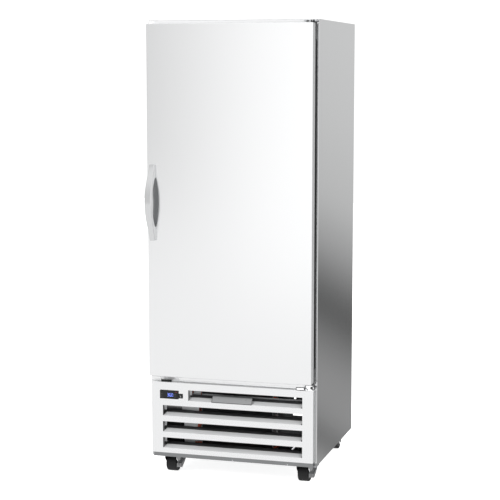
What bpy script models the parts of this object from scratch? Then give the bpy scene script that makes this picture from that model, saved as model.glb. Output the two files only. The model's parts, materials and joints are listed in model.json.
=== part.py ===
"""Single-door reach-in refrigerator with its condensing unit below, on four swivel casters.

Metres, +Z up. The origin is on the floor under the middle of the footprint, and the door faces -Y.
Run with: blender --background --python part.py
"""

import math

import bmesh
import bpy
from mathutils import Matrix, Vector

# Cabinet
WIDTH = 0.692
DEPTH = 0.646
HEIGHT = 1.753
BASE = 0.082  # underside of the cabinet above the floor
FRONT = -0.268  # the cabinet's front plane
GAP = 0.0003  # left between pieces that touch
SHEET = 0.0012  # cabinet steel
FLANGE = 0.038  # side panel's return across the front
BACK_FLANGE = 0.026
SIDE = WIDTH / 2
BACK = FRONT + DEPTH
TOP = BASE + HEIGHT

# Storage compartment
FOAM_LOW = BASE + 0.315
OPENING_HALF = 0.290
OPENING_LOW = BASE + 0.392
OPENING_HIGH = BASE + 1.690
LINER_HALF = 0.2962
LINER_LOW = BASE + 0.3888
LINER_HIGH = BASE + 1.6962
LINER_BACK = FRONT + 0.5962
LINER_WALL = 0.0015
FRAME_FRONT_HALF = SIDE - FLANGE - GAP
FRAME_LOW = BASE + 0.300
FRAME_HIGH = BASE + 1.735
FRAME_THICK = 0.003
SHELF_HEIGHTS = (BASE + 0.700, BASE + 1.030, BASE + 1.360)
SHELF_HALF = 0.2835
SHELF_FRONT = FRONT + 0.055
SHELF_BACK = FRONT + 0.575
SHELF_THICK = 0.005
PILASTER_DEPTHS = (FRONT + 0.100, FRONT + 0.500)

# Door, hung on the right
DOOR_HALF = 0.3355
DOOR_LOW = BASE + 0.340
DOOR_HIGH = BASE + 1.7395
DOOR_FRONT = FRONT - 0.059
DOOR_BACK = FRONT - 0.020
DOOR_SHEET = 0.001
HINGE_X = 0.3175
HINGE_Y = FRONT - 0.040
HINGE_TOP_LEFT = 0.298
HINGE_BOTTOM_LEFT = 0.270
HINGE_LEG_LEFT = 0.319
HINGE_RIGHT = 0.344
HINGE_PIN_RADIUS = 0.005
HINGE_BORE_RADIUS = 0.0055
BUSHING_RADIUS = 0.008
BUSHING_DEPTH = 0.024
CARTRIDGE_RADIUS = 0.009
CARTRIDGE_DEPTH = 0.038
GASKET_HALF = 0.3165
GASKET_BAND = 0.026
GASKET_LOW = BASE + 0.362
GASKET_HIGH = BASE + 1.720

# Handle
HANDLE_X = -0.311
HANDLE_LOW = BASE + 0.888
HANDLE_HIGH = BASE + 1.1905
HANDLE_END_WIDTH = 0.0215
HANDLE_MID_WIDTH = 0.0305
HANDLE_END_REACH = 0.016
HANDLE_MID_REACH = 0.051
HANDLE_GRIP = 0.012
HANDLE_BOW_POWER = 1.25  # above 1: the bow leaves its feet gently
HANDLE_GAP_POWER = 0.7  # below 1: the gap has blunt ends
HANDLE_GAP_LOW = BASE + 0.9326
HANDLE_GAP_HIGH = BASE + 1.1443

# Front grille
GRILLE_HALF = 0.3367
GRILLE_LOW = BASE + 0.018
GRILLE_HIGH = BASE + 0.311
GRILLE_FRONT = FRONT - 0.0277
GRILLE_SHEET = 0.001
SLOT_COUNT = 4
SLOT_PITCH = 0.0666
SLOT_HEIGHT = 0.0433
SLOT_LOW = BASE + 0.0386
SLOT_LEFT = -0.2885
SLOT_RIGHT = 0.2928
TOP_SLOT_LEFT = -0.180
BLADE_DEPTH = 0.0270
BLADE_RISE = 0.0100
RAIL_HALF = 0.3345
RAIL_REACH = 0.010

# Machine compartment's floor: a drain slot, and the rear flange with the cord's gland
DRAIN_SLOT = (0.1825, -0.052, 0.1905, 0.010)
CORD_FLANGE_INSET = 0.016
CORD_GLAND_X = 0.250

# Controls on the grille
CONTROLLER = (-0.2997, BASE + 0.2428, -0.2212, BASE + 0.2774)
CONTROLLER_BODY_MARGIN = 0.0040
CONTROLLER_BODY_DEPTH = 0.060
SWITCH = (-0.2209, BASE + 0.2470, -0.2031, BASE + 0.2655)
SWITCH_WALL = 0.0022

# Condensing unit
CONDENSER_LEFT = -0.146
CONDENSER_RIGHT = 0.150
CONDENSER_FRONT = FRONT + 0.050
CONDENSER_BACK = FRONT + 0.095
CONDENSER_LOW = BASE + 0.0266
CONDENSER_HIGH = BASE + 0.275
TUBE_ROWS = 6
TUBE_RADIUS = 0.0045
SHROUD_LEFT = -0.150
SHROUD_RIGHT = 0.236
SHROUD_BACK = FRONT + 0.150
SHROUD_MARGIN = 0.004  # above and below the condenser
CONDENSER_FAN_RADIUS = 0.090
COMPRESSOR_X = -0.100
COMPRESSOR_Y = FRONT + 0.460
COMPRESSOR_RADIUS = 0.072

# Evaporator, under the compartment's ceiling
EVAPORATOR_HALF = 0.250
EVAPORATOR_FRONT = FRONT + 0.215
EVAPORATOR_BACK = FRONT + 0.5935
EVAPORATOR_LOW = BASE + 1.540
EVAPORATOR_HIGH = BASE + 1.694
EVAPORATOR_FAN_Z = BASE + 1.617
EVAPORATOR_FAN_RADIUS = 0.062

# Casters
CASTER_X = 0.279
FRONT_CASTER_Y = FRONT + 0.103
REAR_CASTER_Y = FRONT + 0.575
CASTER_TRAIL = 0.028
WHEEL_RADIUS = 0.034
WHEEL_HALF = 0.0205
WHEEL_SEGMENTS = 24
LEG_INNER = 0.0213
LEG_OUTER = 0.0238
CROWN_FRONT = 0.064  # from the swivel axis towards the wheel
CROWN_BACK = 0.022
PEDAL_WIDTH = 0.018

MATERIALS = {
    "stainless": ((0.80, 0.81, 0.82), 0.28, 1.0),
    "brushed_side": ((0.62, 0.63, 0.64), 0.38, 1.0),
    "white_steel": ((0.86, 0.87, 0.87), 0.45, 0.0),
    "galvanised": ((0.55, 0.57, 0.58), 0.45, 1.0),
    "zinc": ((0.60, 0.61, 0.63), 0.35, 1.0),
    "foam": ((0.88, 0.80, 0.58), 0.90, 0.0),
    "white_plastic": ((0.86, 0.86, 0.84), 0.50, 0.0),
    "black_plastic": ((0.03, 0.03, 0.03), 0.45, 0.0),
    "display": ((0.02, 0.03, 0.08), 0.15, 0.0),
    "gasket": ((0.06, 0.06, 0.06), 0.80, 0.0),
    "satin_handle": ((0.72, 0.73, 0.74), 0.30, 1.0),
    "coated_wire": ((0.80, 0.81, 0.81), 0.40, 0.0),
    "aluminium": ((0.70, 0.71, 0.73), 0.40, 1.0),
    "black_fins": ((0.04, 0.04, 0.04), 0.60, 0.5),
    "black_paint": ((0.03, 0.03, 0.03), 0.40, 0.0),
    "copper": ((0.72, 0.36, 0.20), 0.30, 1.0),
    "lamp": ((0.95, 0.95, 0.90), 0.30, 0.0),
    "tread": ((0.035, 0.035, 0.035), 0.70, 0.0),
}


def clear_scene():
    for item in list(bpy.data.objects):
        bpy.data.objects.remove(item, do_unlink=True)


def add_object(mesh):
    item = bpy.data.objects.new("piece", mesh)
    bpy.context.scene.collection.objects.link(item)
    return item


def from_bmesh(shape):
    bmesh.ops.recalc_face_normals(shape, faces=shape.faces)
    mesh = bpy.data.meshes.new("piece")
    shape.to_mesh(mesh)
    shape.free()
    return add_object(mesh)


def block(low, high):
    """A box between two opposite corners."""
    size = Vector(high) - Vector(low)
    middle = (Vector(high) + Vector(low)) / 2
    shape = bmesh.new()
    bmesh.ops.create_cube(shape, size=1.0)
    bmesh.ops.scale(shape, vec=size, verts=shape.verts)
    bmesh.ops.translate(shape, vec=middle, verts=shape.verts)
    return from_bmesh(shape)


def turn_to(axis):
    """The rotation that takes a drawing in X, Y, extruded along +Z, to the named axis."""
    frames = {
        "X": ((0, 0, 1), (1, 0, 0), (0, 1, 0)),
        "Y": ((1, 0, 0), (0, 0, -1), (0, 1, 0)),
        "Z": ((1, 0, 0), (0, 1, 0), (0, 0, 1)),
    }
    return Matrix(frames[axis]).to_4x4()


def raised(shape, axis, low, high):
    """Extrude flat faces drawn in X, Y from low to high along the axis.

    The drawing's two coordinates are Y, Z for axis X, then X, Z for axis Y and X, Y for axis Z.
    """
    sign = -1 if axis == "Y" else 1
    bmesh.ops.translate(shape, vec=(0, 0, sign * low), verts=shape.verts)
    drawn = bmesh.ops.extrude_face_region(shape, geom=shape.faces[:])
    moved = [part for part in drawn["geom"] if isinstance(part, bmesh.types.BMVert)]
    bmesh.ops.translate(shape, vec=(0, 0, sign * (high - low)), verts=moved)
    bmesh.ops.transform(shape, matrix=turn_to(axis), verts=shape.verts)
    return from_bmesh(shape)


def prism(outline, axis, low, high):
    shape = bmesh.new()
    shape.faces.new([shape.verts.new((u, v, 0)) for u, v in outline])
    return raised(shape, axis, low, high)


def pierced_plate(outer, holes, axis, low, high):
    """A rectangular plate with rectangular holes; each is (u low, v low, u high, v high)."""
    rects = [outer, *holes]
    us = sorted({edge for rect in rects for edge in (rect[0], rect[2])})
    vs = sorted({edge for rect in rects for edge in (rect[1], rect[3])})
    shape = bmesh.new()
    grid = [[shape.verts.new((u, v, 0)) for v in vs] for u in us]
    for i in range(len(us) - 1):
        for j in range(len(vs) - 1):
            u = (us[i] + us[i + 1]) / 2
            v = (vs[j] + vs[j + 1]) / 2
            if not any(h[0] < u < h[2] and h[1] < v < h[3] for h in holes):
                corners = (grid[i][j], grid[i + 1][j], grid[i + 1][j + 1], grid[i][j + 1])
                shape.faces.new(corners)
    loose = [vert for vert in shape.verts if not vert.link_faces]
    bmesh.ops.delete(shape, geom=loose, context="VERTS")
    return raised(shape, axis, low, high)


def sheet_outline(path, thickness):
    """The closed outline of a folded sheet that lies on the left of its outer path."""
    inner = []
    for index, point in enumerate(path):
        here = Vector(point)
        normals = []
        for start, end in ((index - 1, index), (index, index + 1)):
            if start >= 0 and end < len(path):
                run = (Vector(path[end]) - Vector(path[start])).normalized()
                normals.append(Vector((-run.y, run.x)))
        bisector = sum(normals, Vector((0, 0))).normalized()
        inner.append(here + bisector * thickness / bisector.dot(normals[0]))
    return [*path, *reversed(inner)]


def mirrored(outline):
    return [(-u, v) for u, v in reversed(outline)]


def turned(profile, centre, axis, steps=24, closed=False):
    """Spin a profile of (radius, distance along the axis) about the axis through the centre."""
    shape = bmesh.new()
    verts = [shape.verts.new((radius, 0, along)) for radius, along in profile]
    pairs = list(zip(verts, verts[1:]))
    if closed:
        pairs.append((verts[-1], verts[0]))
    edges = [shape.edges.new(pair) for pair in pairs]
    bmesh.ops.spin(
        shape,
        geom=verts + edges,
        axis=(0, 0, 1),
        cent=(0, 0, 0),
        angle=math.tau,
        steps=steps,
        use_merge=True,
    )
    bmesh.ops.remove_doubles(shape, verts=shape.verts, dist=1e-6)
    half_step = Matrix.Rotation(math.pi / steps, 4, "Z")
    upright = {
        "X": Matrix.Rotation(math.pi / 2, 4, "Y"),
        "Y": Matrix.Rotation(-math.pi / 2, 4, "X"),
        "Z": Matrix.Identity(4),
    }[axis]
    place = Matrix.Translation(centre) @ upright @ half_step
    bmesh.ops.transform(shape, matrix=place, verts=shape.verts)
    return from_bmesh(shape)


def rod(centre, axis, radius, low, high, steps=24):
    """A cylinder from low to high along the axis, measured from the centre."""
    profile = [(0, low), (radius, low), (radius, high), (0, high)]
    return turned(profile, centre, axis, steps)


def rounded_path(points, radius, steps=4):
    """The points with each inner corner replaced by an arc."""
    path = [Vector(points[0])]
    for before, corner, after in zip(points, points[1:], points[2:]):
        corner = Vector(corner)
        to_before = (Vector(before) - corner).normalized()
        to_after = (Vector(after) - corner).normalized()
        half_angle = to_before.angle(to_after) / 2
        bisector = (to_before + to_after).normalized()
        centre = corner + bisector * radius / math.sin(half_angle)
        start = corner + to_before * radius / math.tan(half_angle) - centre
        end = corner + to_after * radius / math.tan(half_angle) - centre
        sweep = math.pi - 2 * half_angle
        for step in range(steps + 1):
            share = step / steps
            arc = math.sin((1 - share) * sweep) * start + math.sin(share * sweep) * end
            path.append(centre + arc / math.sin(sweep))
    path.append(Vector(points[-1]))
    return path


def pipe(points, radius):
    """A round tube's outside along a path, with flat ends."""
    curve = bpy.data.curves.new("path", "CURVE")
    curve.dimensions = "3D"
    curve.bevel_depth = radius
    curve.bevel_resolution = 2
    curve.use_fill_caps = True
    line = curve.splines.new("POLY")
    line.points.add(len(points) - 1)
    for knot, point in zip(line.points, points):
        knot.co = (*point, 1)
    guide = add_object(curve)
    solid = add_object(evaluated_mesh(guide))
    bpy.data.objects.remove(guide, do_unlink=True)
    return solid


def evaluated_mesh(item):
    bpy.context.view_layer.update()
    graph = bpy.context.evaluated_depsgraph_get()
    return bpy.data.meshes.new_from_object(item.evaluated_get(graph))


def combine(item, others, operation):
    for other in others:
        modifier = item.modifiers.new("combine", "BOOLEAN")
        modifier.operation = operation
        modifier.object = other
        mesh = evaluated_mesh(item)
        item.modifiers.clear()
        item.data = mesh
        bpy.data.objects.remove(other, do_unlink=True)
    return item


def union(item, *others):
    return combine(item, others, "UNION")


def cut(item, *others):
    return combine(item, others, "DIFFERENCE")


def make_material(name, look):
    colour, roughness, metallic = MATERIALS[look]
    material = bpy.data.materials.new(name)
    material.use_nodes = True
    shader = material.node_tree.nodes["Principled BSDF"]
    shader.inputs["Base Color"].default_value = (*colour, 1)
    shader.inputs["Roughness"].default_value = roughness
    shader.inputs["Metallic"].default_value = metallic
    return material


def finish(item, name, look, pivot=None):
    """Name a piece, give it its own material, and hang it on its pivot if it moves."""
    item.name = name
    item.data.name = name
    item.data.materials.clear()
    item.data.materials.append(make_material(name, look))
    item.data.shade_smooth()
    item.data.set_sharp_from_angle(angle=math.radians(35))
    if pivot:
        bpy.context.view_layer.update()
        item.data.transform(pivot.matrix_world.inverted())
        item.parent = pivot
    return item


def add_pivot(name, place, parent=None):
    """An empty on a joint's axis."""
    pivot = bpy.data.objects.new(name, None)
    bpy.context.scene.collection.objects.link(pivot)
    pivot.location = place
    if parent:
        bpy.context.view_layer.update()
        pivot.location = Vector(place) - parent.matrix_world.translation
        pivot.parent = parent
    return pivot


def side_panel(name, sign):
    path = [(SIDE - FLANGE, FRONT), (SIDE, FRONT), (SIDE, BACK), (SIDE - BACK_FLANGE, BACK)]
    outline = sheet_outline(path, SHEET)
    if sign < 0:
        outline = mirrored(outline)
    wall = prism(outline, "Z", BASE, TOP)
    edges = sorted((sign * (SIDE - 0.020), sign * (SIDE - SHEET / 2)))
    hem = block(
        (edges[0], FRONT + 0.020, BASE),
        (edges[1], BACK - 0.020, BASE + SHEET),
    )
    finish(union(wall, hem), name, "brushed_side")


def top_panel():
    inner = SIDE - SHEET - GAP
    low = TOP - SHEET
    plate = block((-inner, FRONT + SHEET + GAP, low), (inner, BACK - SHEET - GAP, TOP))
    middle = FRAME_FRONT_HALF
    strip = block((-middle, FRONT, low), (middle, BACK, TOP))
    fold_low = FRAME_HIGH + GAP
    front_fold = block((-middle, FRONT, fold_low), (middle, FRONT + SHEET, TOP))
    back_fold = block((-middle, BACK - SHEET, fold_low), (middle, BACK, TOP))
    finish(union(plate, strip, front_fold, back_fold), "top_panel", "brushed_side")


def back_panel():
    half = SIDE - BACK_FLANGE - GAP
    plate = block((-half, BACK - SHEET, FRAME_LOW), (half, BACK, FRAME_HIGH))
    finish(plate, "back_panel", "galvanised")


def insulation():
    inner = SIDE - SHEET - GAP
    body = block(
        (-inner, FRONT + FRAME_THICK + 2 * GAP, FOAM_LOW),
        (inner, BACK - SHEET - GAP, TOP - SHEET - GAP),
    )
    hollow = block(
        (-LINER_HALF - GAP, FRONT - 0.01, LINER_LOW - GAP),
        (LINER_HALF + GAP, LINER_BACK + GAP, LINER_HIGH + GAP),
    )
    finish(cut(body, hollow), "insulation_foam", "foam")


def inner_liner():
    front = FRONT + FRAME_THICK + 2 * GAP
    body = block((-LINER_HALF, front, LINER_LOW), (LINER_HALF, LINER_BACK, LINER_HIGH))
    hollow = block(
        (-LINER_HALF + LINER_WALL, front - 0.01, LINER_LOW + LINER_WALL),
        (LINER_HALF - LINER_WALL, LINER_BACK - LINER_WALL, LINER_HIGH - LINER_WALL),
    )
    finish(cut(body, hollow), "inner_liner", "white_plastic")


def face_frame():
    outer = (-FRAME_FRONT_HALF, FRAME_LOW, FRAME_FRONT_HALF, FRAME_HIGH)
    mouth = (-OPENING_HALF, OPENING_LOW, OPENING_HALF, OPENING_HIGH)
    ring = pierced_plate(outer, [mouth], "Y", FRONT, FRONT + FRAME_THICK)
    finish(ring, "face_frame", "white_steel")


def base_pan():
    """The floor of the machine compartment, with its front rail and the rear cord flange."""
    low = BASE + SHEET + GAP
    high = low + 0.002
    inner = SIDE - SHEET - GAP
    flange_back = BACK - CORD_FLANGE_INSET
    floor = block((-inner, FRONT + SHEET + GAP, low), (inner, flange_back, high))
    tongue = block((-FRAME_FRONT_HALF, FRONT - RAIL_REACH, low), (FRAME_FRONT_HALF, FRONT + 0.020, high))
    rail_front = FRONT - RAIL_REACH
    rail_low = BASE - 0.002
    rail = block((-RAIL_HALF, rail_front, rail_low), (RAIL_HALF, rail_front + 0.002, GRILLE_LOW - 0.0005))
    rail_lip = block((-RAIL_HALF, rail_front, rail_low), (RAIL_HALF, FRONT - GAP, BASE - 0.0006))
    cord_flange = block((-inner, flange_back - 0.002, low), (inner, flange_back, BASE + 0.045))
    gland_place = (CORD_GLAND_X, flange_back, BASE + 0.026)
    gland_hole = rod(gland_place, "Y", 0.0083, -0.01, 0.01, 16)
    left, near, right, far = DRAIN_SLOT
    drain = block((left, near, low - 0.01), (right, far, high + 0.01))
    pan = cut(union(floor, tongue, rail, rail_lip, cord_flange), gland_hole, drain)
    finish(pan, "base_pan", "galvanised")
    profile = [
        (0.0035, -0.012),
        (0.0080, -0.012),
        (0.0080, GAP),
        (0.0120, GAP),
        (0.0105, 0.015),
        (0.0035, 0.015),
    ]
    gland = turned(profile, gland_place, "Y", 16, closed=True)
    finish(gland, "cord_gland", "black_plastic")


def slot_rects():
    rects = []
    for row in range(SLOT_COUNT):
        low = SLOT_LOW + row * SLOT_PITCH
        left = TOP_SLOT_LEFT if row == SLOT_COUNT - 1 else SLOT_LEFT
        rects.append((left, low, SLOT_RIGHT, low + SLOT_HEIGHT))
    return rects


def inset_rect(rect, margin):
    return (rect[0] + margin, rect[1] + margin, rect[2] - margin, rect[3] - margin)


def grille():
    outer = (-GRILLE_HALF, GRILLE_LOW, GRILLE_HALF, GRILLE_HIGH)
    slots = slot_rects()
    holes = [
        *slots,
        inset_rect(CONTROLLER, CONTROLLER_BODY_MARGIN - GAP),
        inset_rect(SWITCH, SWITCH_WALL - GAP),
    ]
    face = pierced_plate(outer, holes, "Y", GRILLE_FRONT, GRILLE_FRONT + GRILLE_SHEET)
    edge = inset_rect(outer, GRILLE_SHEET)
    returns = pierced_plate(outer, [edge], "Y", GRILLE_FRONT + GRILLE_SHEET / 2, FRONT - GAP)
    blades = []
    for left, low, right, _ in slots:
        start = (GRILLE_FRONT + GRILLE_SHEET / 2, low - 0.0004)
        end = (GRILLE_FRONT + BLADE_DEPTH, low + BLADE_RISE)
        outline = sheet_outline([end, start], GRILLE_SHEET)
        blades.append(prism(outline, "X", left + 0.001, right - 0.006))
    finish(union(face, returns, *blades), "grille_panel", "stainless")


def nameplate():
    """A blank plate leaning back above the top louvre, on two ribs."""
    bottom = (FRONT - 0.0300, BASE + 0.2388)
    top = (FRONT - 0.0120, BASE + 0.2636)
    plate = prism(sheet_outline([top, bottom], 0.0015), "X", -0.082, 0.085)
    rib_outline = [
        (FRONT - 0.0150, BASE + 0.2590),
        (FRONT - 0.0205, BASE + 0.2512),
        (FRONT - 0.0205, BASE + 0.2430),
        (FRONT - 0.0095, BASE + 0.2465),
    ]
    ribs = [prism(rib_outline, "X", x - 0.003, x + 0.003) for x in (-0.055, 0.058)]
    finish(union(plate, *ribs), "nameplate_blank", "stainless")


def controller():
    left, low, right, high = CONTROLLER
    bezel_front = GRILLE_FRONT - 0.0035
    bezel = block((left, bezel_front, low), (right, GRILLE_FRONT - GAP, high))
    body_rect = inset_rect(CONTROLLER, CONTROLLER_BODY_MARGIN)
    body = block(
        (body_rect[0], GRILLE_FRONT - 0.002, body_rect[1]),
        (body_rect[2], GRILLE_FRONT + CONTROLLER_BODY_DEPTH, body_rect[3]),
    )
    window = inset_rect(CONTROLLER, 0.0035)
    recess = block(
        (window[0] - GAP, bezel_front - 0.01, window[1] - GAP),
        (window[2] + GAP, bezel_front + 0.0011, window[3] + GAP),
    )
    finish(cut(union(bezel, body), recess), "controller_housing", "black_plastic")
    pane = block(
        (window[0], bezel_front - 0.0002, window[1]),
        (window[2], bezel_front + 0.0008, window[3]),
    )
    finish(pane, "controller_display", "display")


def power_switch():
    left, low, right, high = SWITCH
    inner = inset_rect(SWITCH, SWITCH_WALL + 0.0012)
    front = GRILLE_FRONT - 0.0025
    frame = pierced_plate(SWITCH, [inner], "Y", front, GRILLE_FRONT - GAP)
    sleeve_rect = inset_rect(SWITCH, SWITCH_WALL)
    sleeve = pierced_plate(sleeve_rect, [inner], "Y", front + 0.001, GRILLE_FRONT + 0.014)
    finish(union(frame, sleeve), "switch_bezel", "black_plastic")
    middle_z = (low + high) / 2
    pivot = add_pivot("power_rocker_pivot", ((left + right) / 2, front + 0.001, middle_z))
    key = inset_rect(inner, 0.0005)
    outline = [
        (front - 0.0004, key[1] + 0.0004),
        (front - 0.0016, middle_z),
        (front - 0.0030, key[3] - 0.0006),
        (front + 0.0050, key[3] - 0.0016),
        (front + 0.0065, middle_z),
        (front + 0.0050, key[1] + 0.0006),
    ]
    rocker = prism(outline, "X", key[0], key[2])
    finish(rocker, "power_rocker", "black_plastic", pivot)


def lock_keeper():
    """A black block on the grille's top return, below the door's free corner."""
    low = GRILLE_HIGH + GAP
    body = block((-0.296, FRONT - 0.0277, low), (-0.250, FRONT - GAP, low + 0.010))
    slot = block((-0.286, FRONT - 0.020, low + 0.005), (-0.262, FRONT - 0.010, low + 0.02))
    finish(cut(body, slot), "lock_keeper", "black_plastic")


def hinge_bracket(name, inner_end, plate, leg, pin):
    """An angle bracket with a pin; plate, leg and pin are each (low, high) heights."""
    leg_block = block((HINGE_LEG_LEFT, FRONT - 0.003, leg[0]), (HINGE_RIGHT, FRONT - GAP, leg[1]))
    plate_block = block((inner_end, FRONT - 0.055, plate[0]), (HINGE_RIGHT, FRONT - GAP, plate[1]))
    pin_rod = rod((HINGE_X, HINGE_Y, 0), "Z", HINGE_PIN_RADIUS, pin[0], pin[1])
    finish(union(plate_block, leg_block, pin_rod), name, "zinc")


def hinges():
    top_plate = (DOOR_HIGH + 0.003, DOOR_HIGH + 0.008)
    top_leg = (BASE + 1.675, DOOR_HIGH + 0.007)
    top_pin = (DOOR_HIGH - 0.020, DOOR_HIGH + 0.006)
    hinge_bracket("hinge_bracket_top", HINGE_TOP_LEFT, top_plate, top_leg, top_pin)
    low_plate = (BASE + 0.3176, BASE + 0.3236)
    low_leg = (BASE + 0.319, BASE + 0.395)
    low_pin = (BASE + 0.320, DOOR_LOW + 0.030)
    hinge_bracket("hinge_bracket_bottom", HINGE_BOTTOM_LEFT, low_plate, low_leg, low_pin)
    return low_plate[1]


def cup(outer_radius, mouth, end, wall):
    """A bearing cup's profile, open at its mouth."""
    floor = end - wall if end > mouth else end + wall
    return [
        (HINGE_BORE_RADIUS, mouth),
        (outer_radius, mouth),
        (outer_radius, end),
        (0, end),
        (0, floor),
        (HINGE_BORE_RADIUS, floor),
        (HINGE_BORE_RADIUS, mouth),
    ]


def door(pivot, cartridge_mouth):
    axis = (HINGE_X, HINGE_Y, 0)
    shell = block((-DOOR_HALF, DOOR_FRONT, DOOR_LOW), (DOOR_HALF, DOOR_BACK, DOOR_HIGH))
    inner_half = DOOR_HALF - DOOR_SHEET
    inner_front = DOOR_FRONT + DOOR_SHEET
    inner_low = DOOR_LOW + DOOR_SHEET
    inner_high = DOOR_HIGH - DOOR_SHEET
    hollow = block(
        (-inner_half, inner_front, inner_low),
        (inner_half, DOOR_BACK + 0.01, inner_high),
    )
    top_hole = rod(axis, "Z", BUSHING_RADIUS + 2 * GAP, inner_high - 0.01, DOOR_HIGH + 0.01)
    low_hole = rod(axis, "Z", CARTRIDGE_RADIUS + 2 * GAP, DOOR_LOW - 0.01, inner_low + 0.01)
    finish(cut(shell, hollow, top_hole, low_hole), "door_skin", "stainless", pivot)

    liner_front = DOOR_BACK - LINER_WALL
    core = block(
        (-inner_half + GAP, inner_front + GAP, inner_low + GAP),
        (inner_half - GAP, liner_front - GAP, inner_high - GAP),
    )
    top_room = rod(
        axis, "Z", BUSHING_RADIUS + 2 * GAP, DOOR_HIGH - BUSHING_DEPTH - GAP, DOOR_HIGH + 0.01
    )
    low_room = rod(
        axis, "Z", CARTRIDGE_RADIUS + 2 * GAP, DOOR_LOW - 0.01, DOOR_LOW + CARTRIDGE_DEPTH + GAP
    )
    finish(cut(core, top_room, low_room), "door_foam", "foam", pivot)

    pan = block(
        (-inner_half + GAP, liner_front, inner_low + GAP),
        (inner_half - GAP, DOOR_BACK, inner_high - GAP),
    )
    dam_half = OPENING_HALF - 0.015
    dam_low = OPENING_LOW + 0.013
    dam_high = OPENING_HIGH - 0.015
    dam = block((-dam_half, DOOR_BACK - 0.001, dam_low), (dam_half, FRONT + 0.012, dam_high))
    finish(union(pan, dam), "door_liner", "white_plastic", pivot)

    outer = (-GASKET_HALF, GASKET_LOW, GASKET_HALF, GASKET_HIGH)
    inner = inset_rect(outer, GASKET_BAND)
    seal = pierced_plate(outer, [inner], "Y", DOOR_BACK + GAP, FRONT - GAP)
    finish(seal, "door_gasket", "gasket", pivot)

    top_cup = cup(BUSHING_RADIUS, DOOR_HIGH, DOOR_HIGH - BUSHING_DEPTH, 0.002)
    finish(turned(top_cup, axis, "Z"), "hinge_bushing_top", "black_plastic", pivot)
    low_cup = cup(CARTRIDGE_RADIUS, cartridge_mouth + GAP, DOOR_LOW + CARTRIDGE_DEPTH, 0.003)
    finish(turned(low_cup, axis, "Z"), "hinge_cartridge_bottom", "black_plastic", pivot)
    finish(handle(), "door_handle", "satin_handle", pivot)


def bow(low, high, end_reach, mid_reach, steps, power):
    """Points (y, z) along a bow that stands off the door, from its low end to its high end."""
    points = []
    for step in range(steps + 1):
        share = step / steps
        swell = math.sin(math.pi * share) ** power
        reach = end_reach + (mid_reach - end_reach) * swell
        points.append((DOOR_FRONT - reach, low + (high - low) * share))
    return points


def handle():
    """A bowed strap with solid feet, widest at its middle."""
    foot = DOOR_FRONT - GAP
    outer = bow(HANDLE_LOW, HANDLE_HIGH, HANDLE_END_REACH, HANDLE_MID_REACH, 18, HANDLE_BOW_POWER)
    inner_reach = HANDLE_MID_REACH - HANDLE_GRIP
    inner = bow(HANDLE_GAP_LOW, HANDLE_GAP_HIGH, GAP, inner_reach, 16, HANDLE_GAP_POWER)
    outline = [(foot, HANDLE_LOW), *outer, (foot, HANDLE_HIGH), *reversed(inner)]
    strap = prism(outline, "X", -0.5, 0.5)
    for vert in strap.data.vertices:
        share = (vert.co.z - HANDLE_LOW) / (HANDLE_HIGH - HANDLE_LOW)
        swell = math.sin(math.pi * share)
        width = HANDLE_END_WIDTH + (HANDLE_MID_WIDTH - HANDLE_END_WIDTH) * swell
        vert.co.x = HANDLE_X + vert.co.x * width
    return strap


def pilasters():
    wall = LINER_HALF - LINER_WALL - GAP
    for side, sign in (("left", -1), ("right", 1)):
        for place, middle in zip(("front", "back"), PILASTER_DEPTHS):
            face = SHELF_HALF + 0.0009
            edges = sorted((sign * wall, sign * face))
            rail = block(
                (edges[0], middle - 0.008, OPENING_LOW + 0.030),
                (edges[1], middle + 0.008, OPENING_HIGH - 0.030),
            )
            ledges = []
            for height in SHELF_HEIGHTS:
                reach = sorted((sign * (wall - 0.001), sign * (face - 0.012)))
                ledge = block(
                    (reach[0], middle - 0.006, height - 0.006),
                    (reach[1], middle + 0.006, height - GAP),
                )
                ledges.append(ledge)
            finish(union(rail, *ledges), f"pilaster_{side}_{place}", "galvanised")


def shelves():
    wire = 0.004
    columns = 12
    rows = 2
    pitch_x = (2 * SHELF_HALF - wire) / columns
    pitch_y = (SHELF_BACK - SHELF_FRONT - wire) / rows
    holes = []
    for column in range(columns):
        left = -SHELF_HALF + wire + column * pitch_x
        for row in range(rows):
            near = SHELF_FRONT + wire + row * pitch_y
            holes.append((left, near, left + pitch_x - wire, near + pitch_y - wire))
    outer = (-SHELF_HALF, SHELF_FRONT, SHELF_HALF, SHELF_BACK)
    for number, height in enumerate(SHELF_HEIGHTS, start=1):
        shelf = pierced_plate(outer, holes, "Z", height, height + SHELF_THICK)
        finish(shelf, f"wire_shelf_{number}", "coated_wire")


def fan_blade(centre, radius, hub_radius, blades, thick):
    """A hub with tilted blades about an axis along Y."""
    hub = rod(centre, "Y", hub_radius, -thick / 2, thick / 2)
    parts = []
    for index in range(blades):
        shape = bmesh.new()
        bmesh.ops.create_cube(shape, size=1.0)
        length = radius - hub_radius / 2
        bmesh.ops.scale(shape, vec=(radius * 0.62, 0.0018, length), verts=shape.verts)
        tilt = Matrix.Rotation(math.radians(24), 4, "Z")
        bmesh.ops.transform(shape, matrix=tilt, verts=shape.verts)
        bmesh.ops.translate(shape, vec=(0, 0, hub_radius / 2 + length / 2), verts=shape.verts)
        spin = Matrix.Rotation(math.tau * index / blades, 4, "Y")
        place = Matrix.Translation(centre) @ spin
        bmesh.ops.transform(shape, matrix=place, verts=shape.verts)
        parts.append(from_bmesh(shape))
    return union(hub, *parts)


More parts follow.
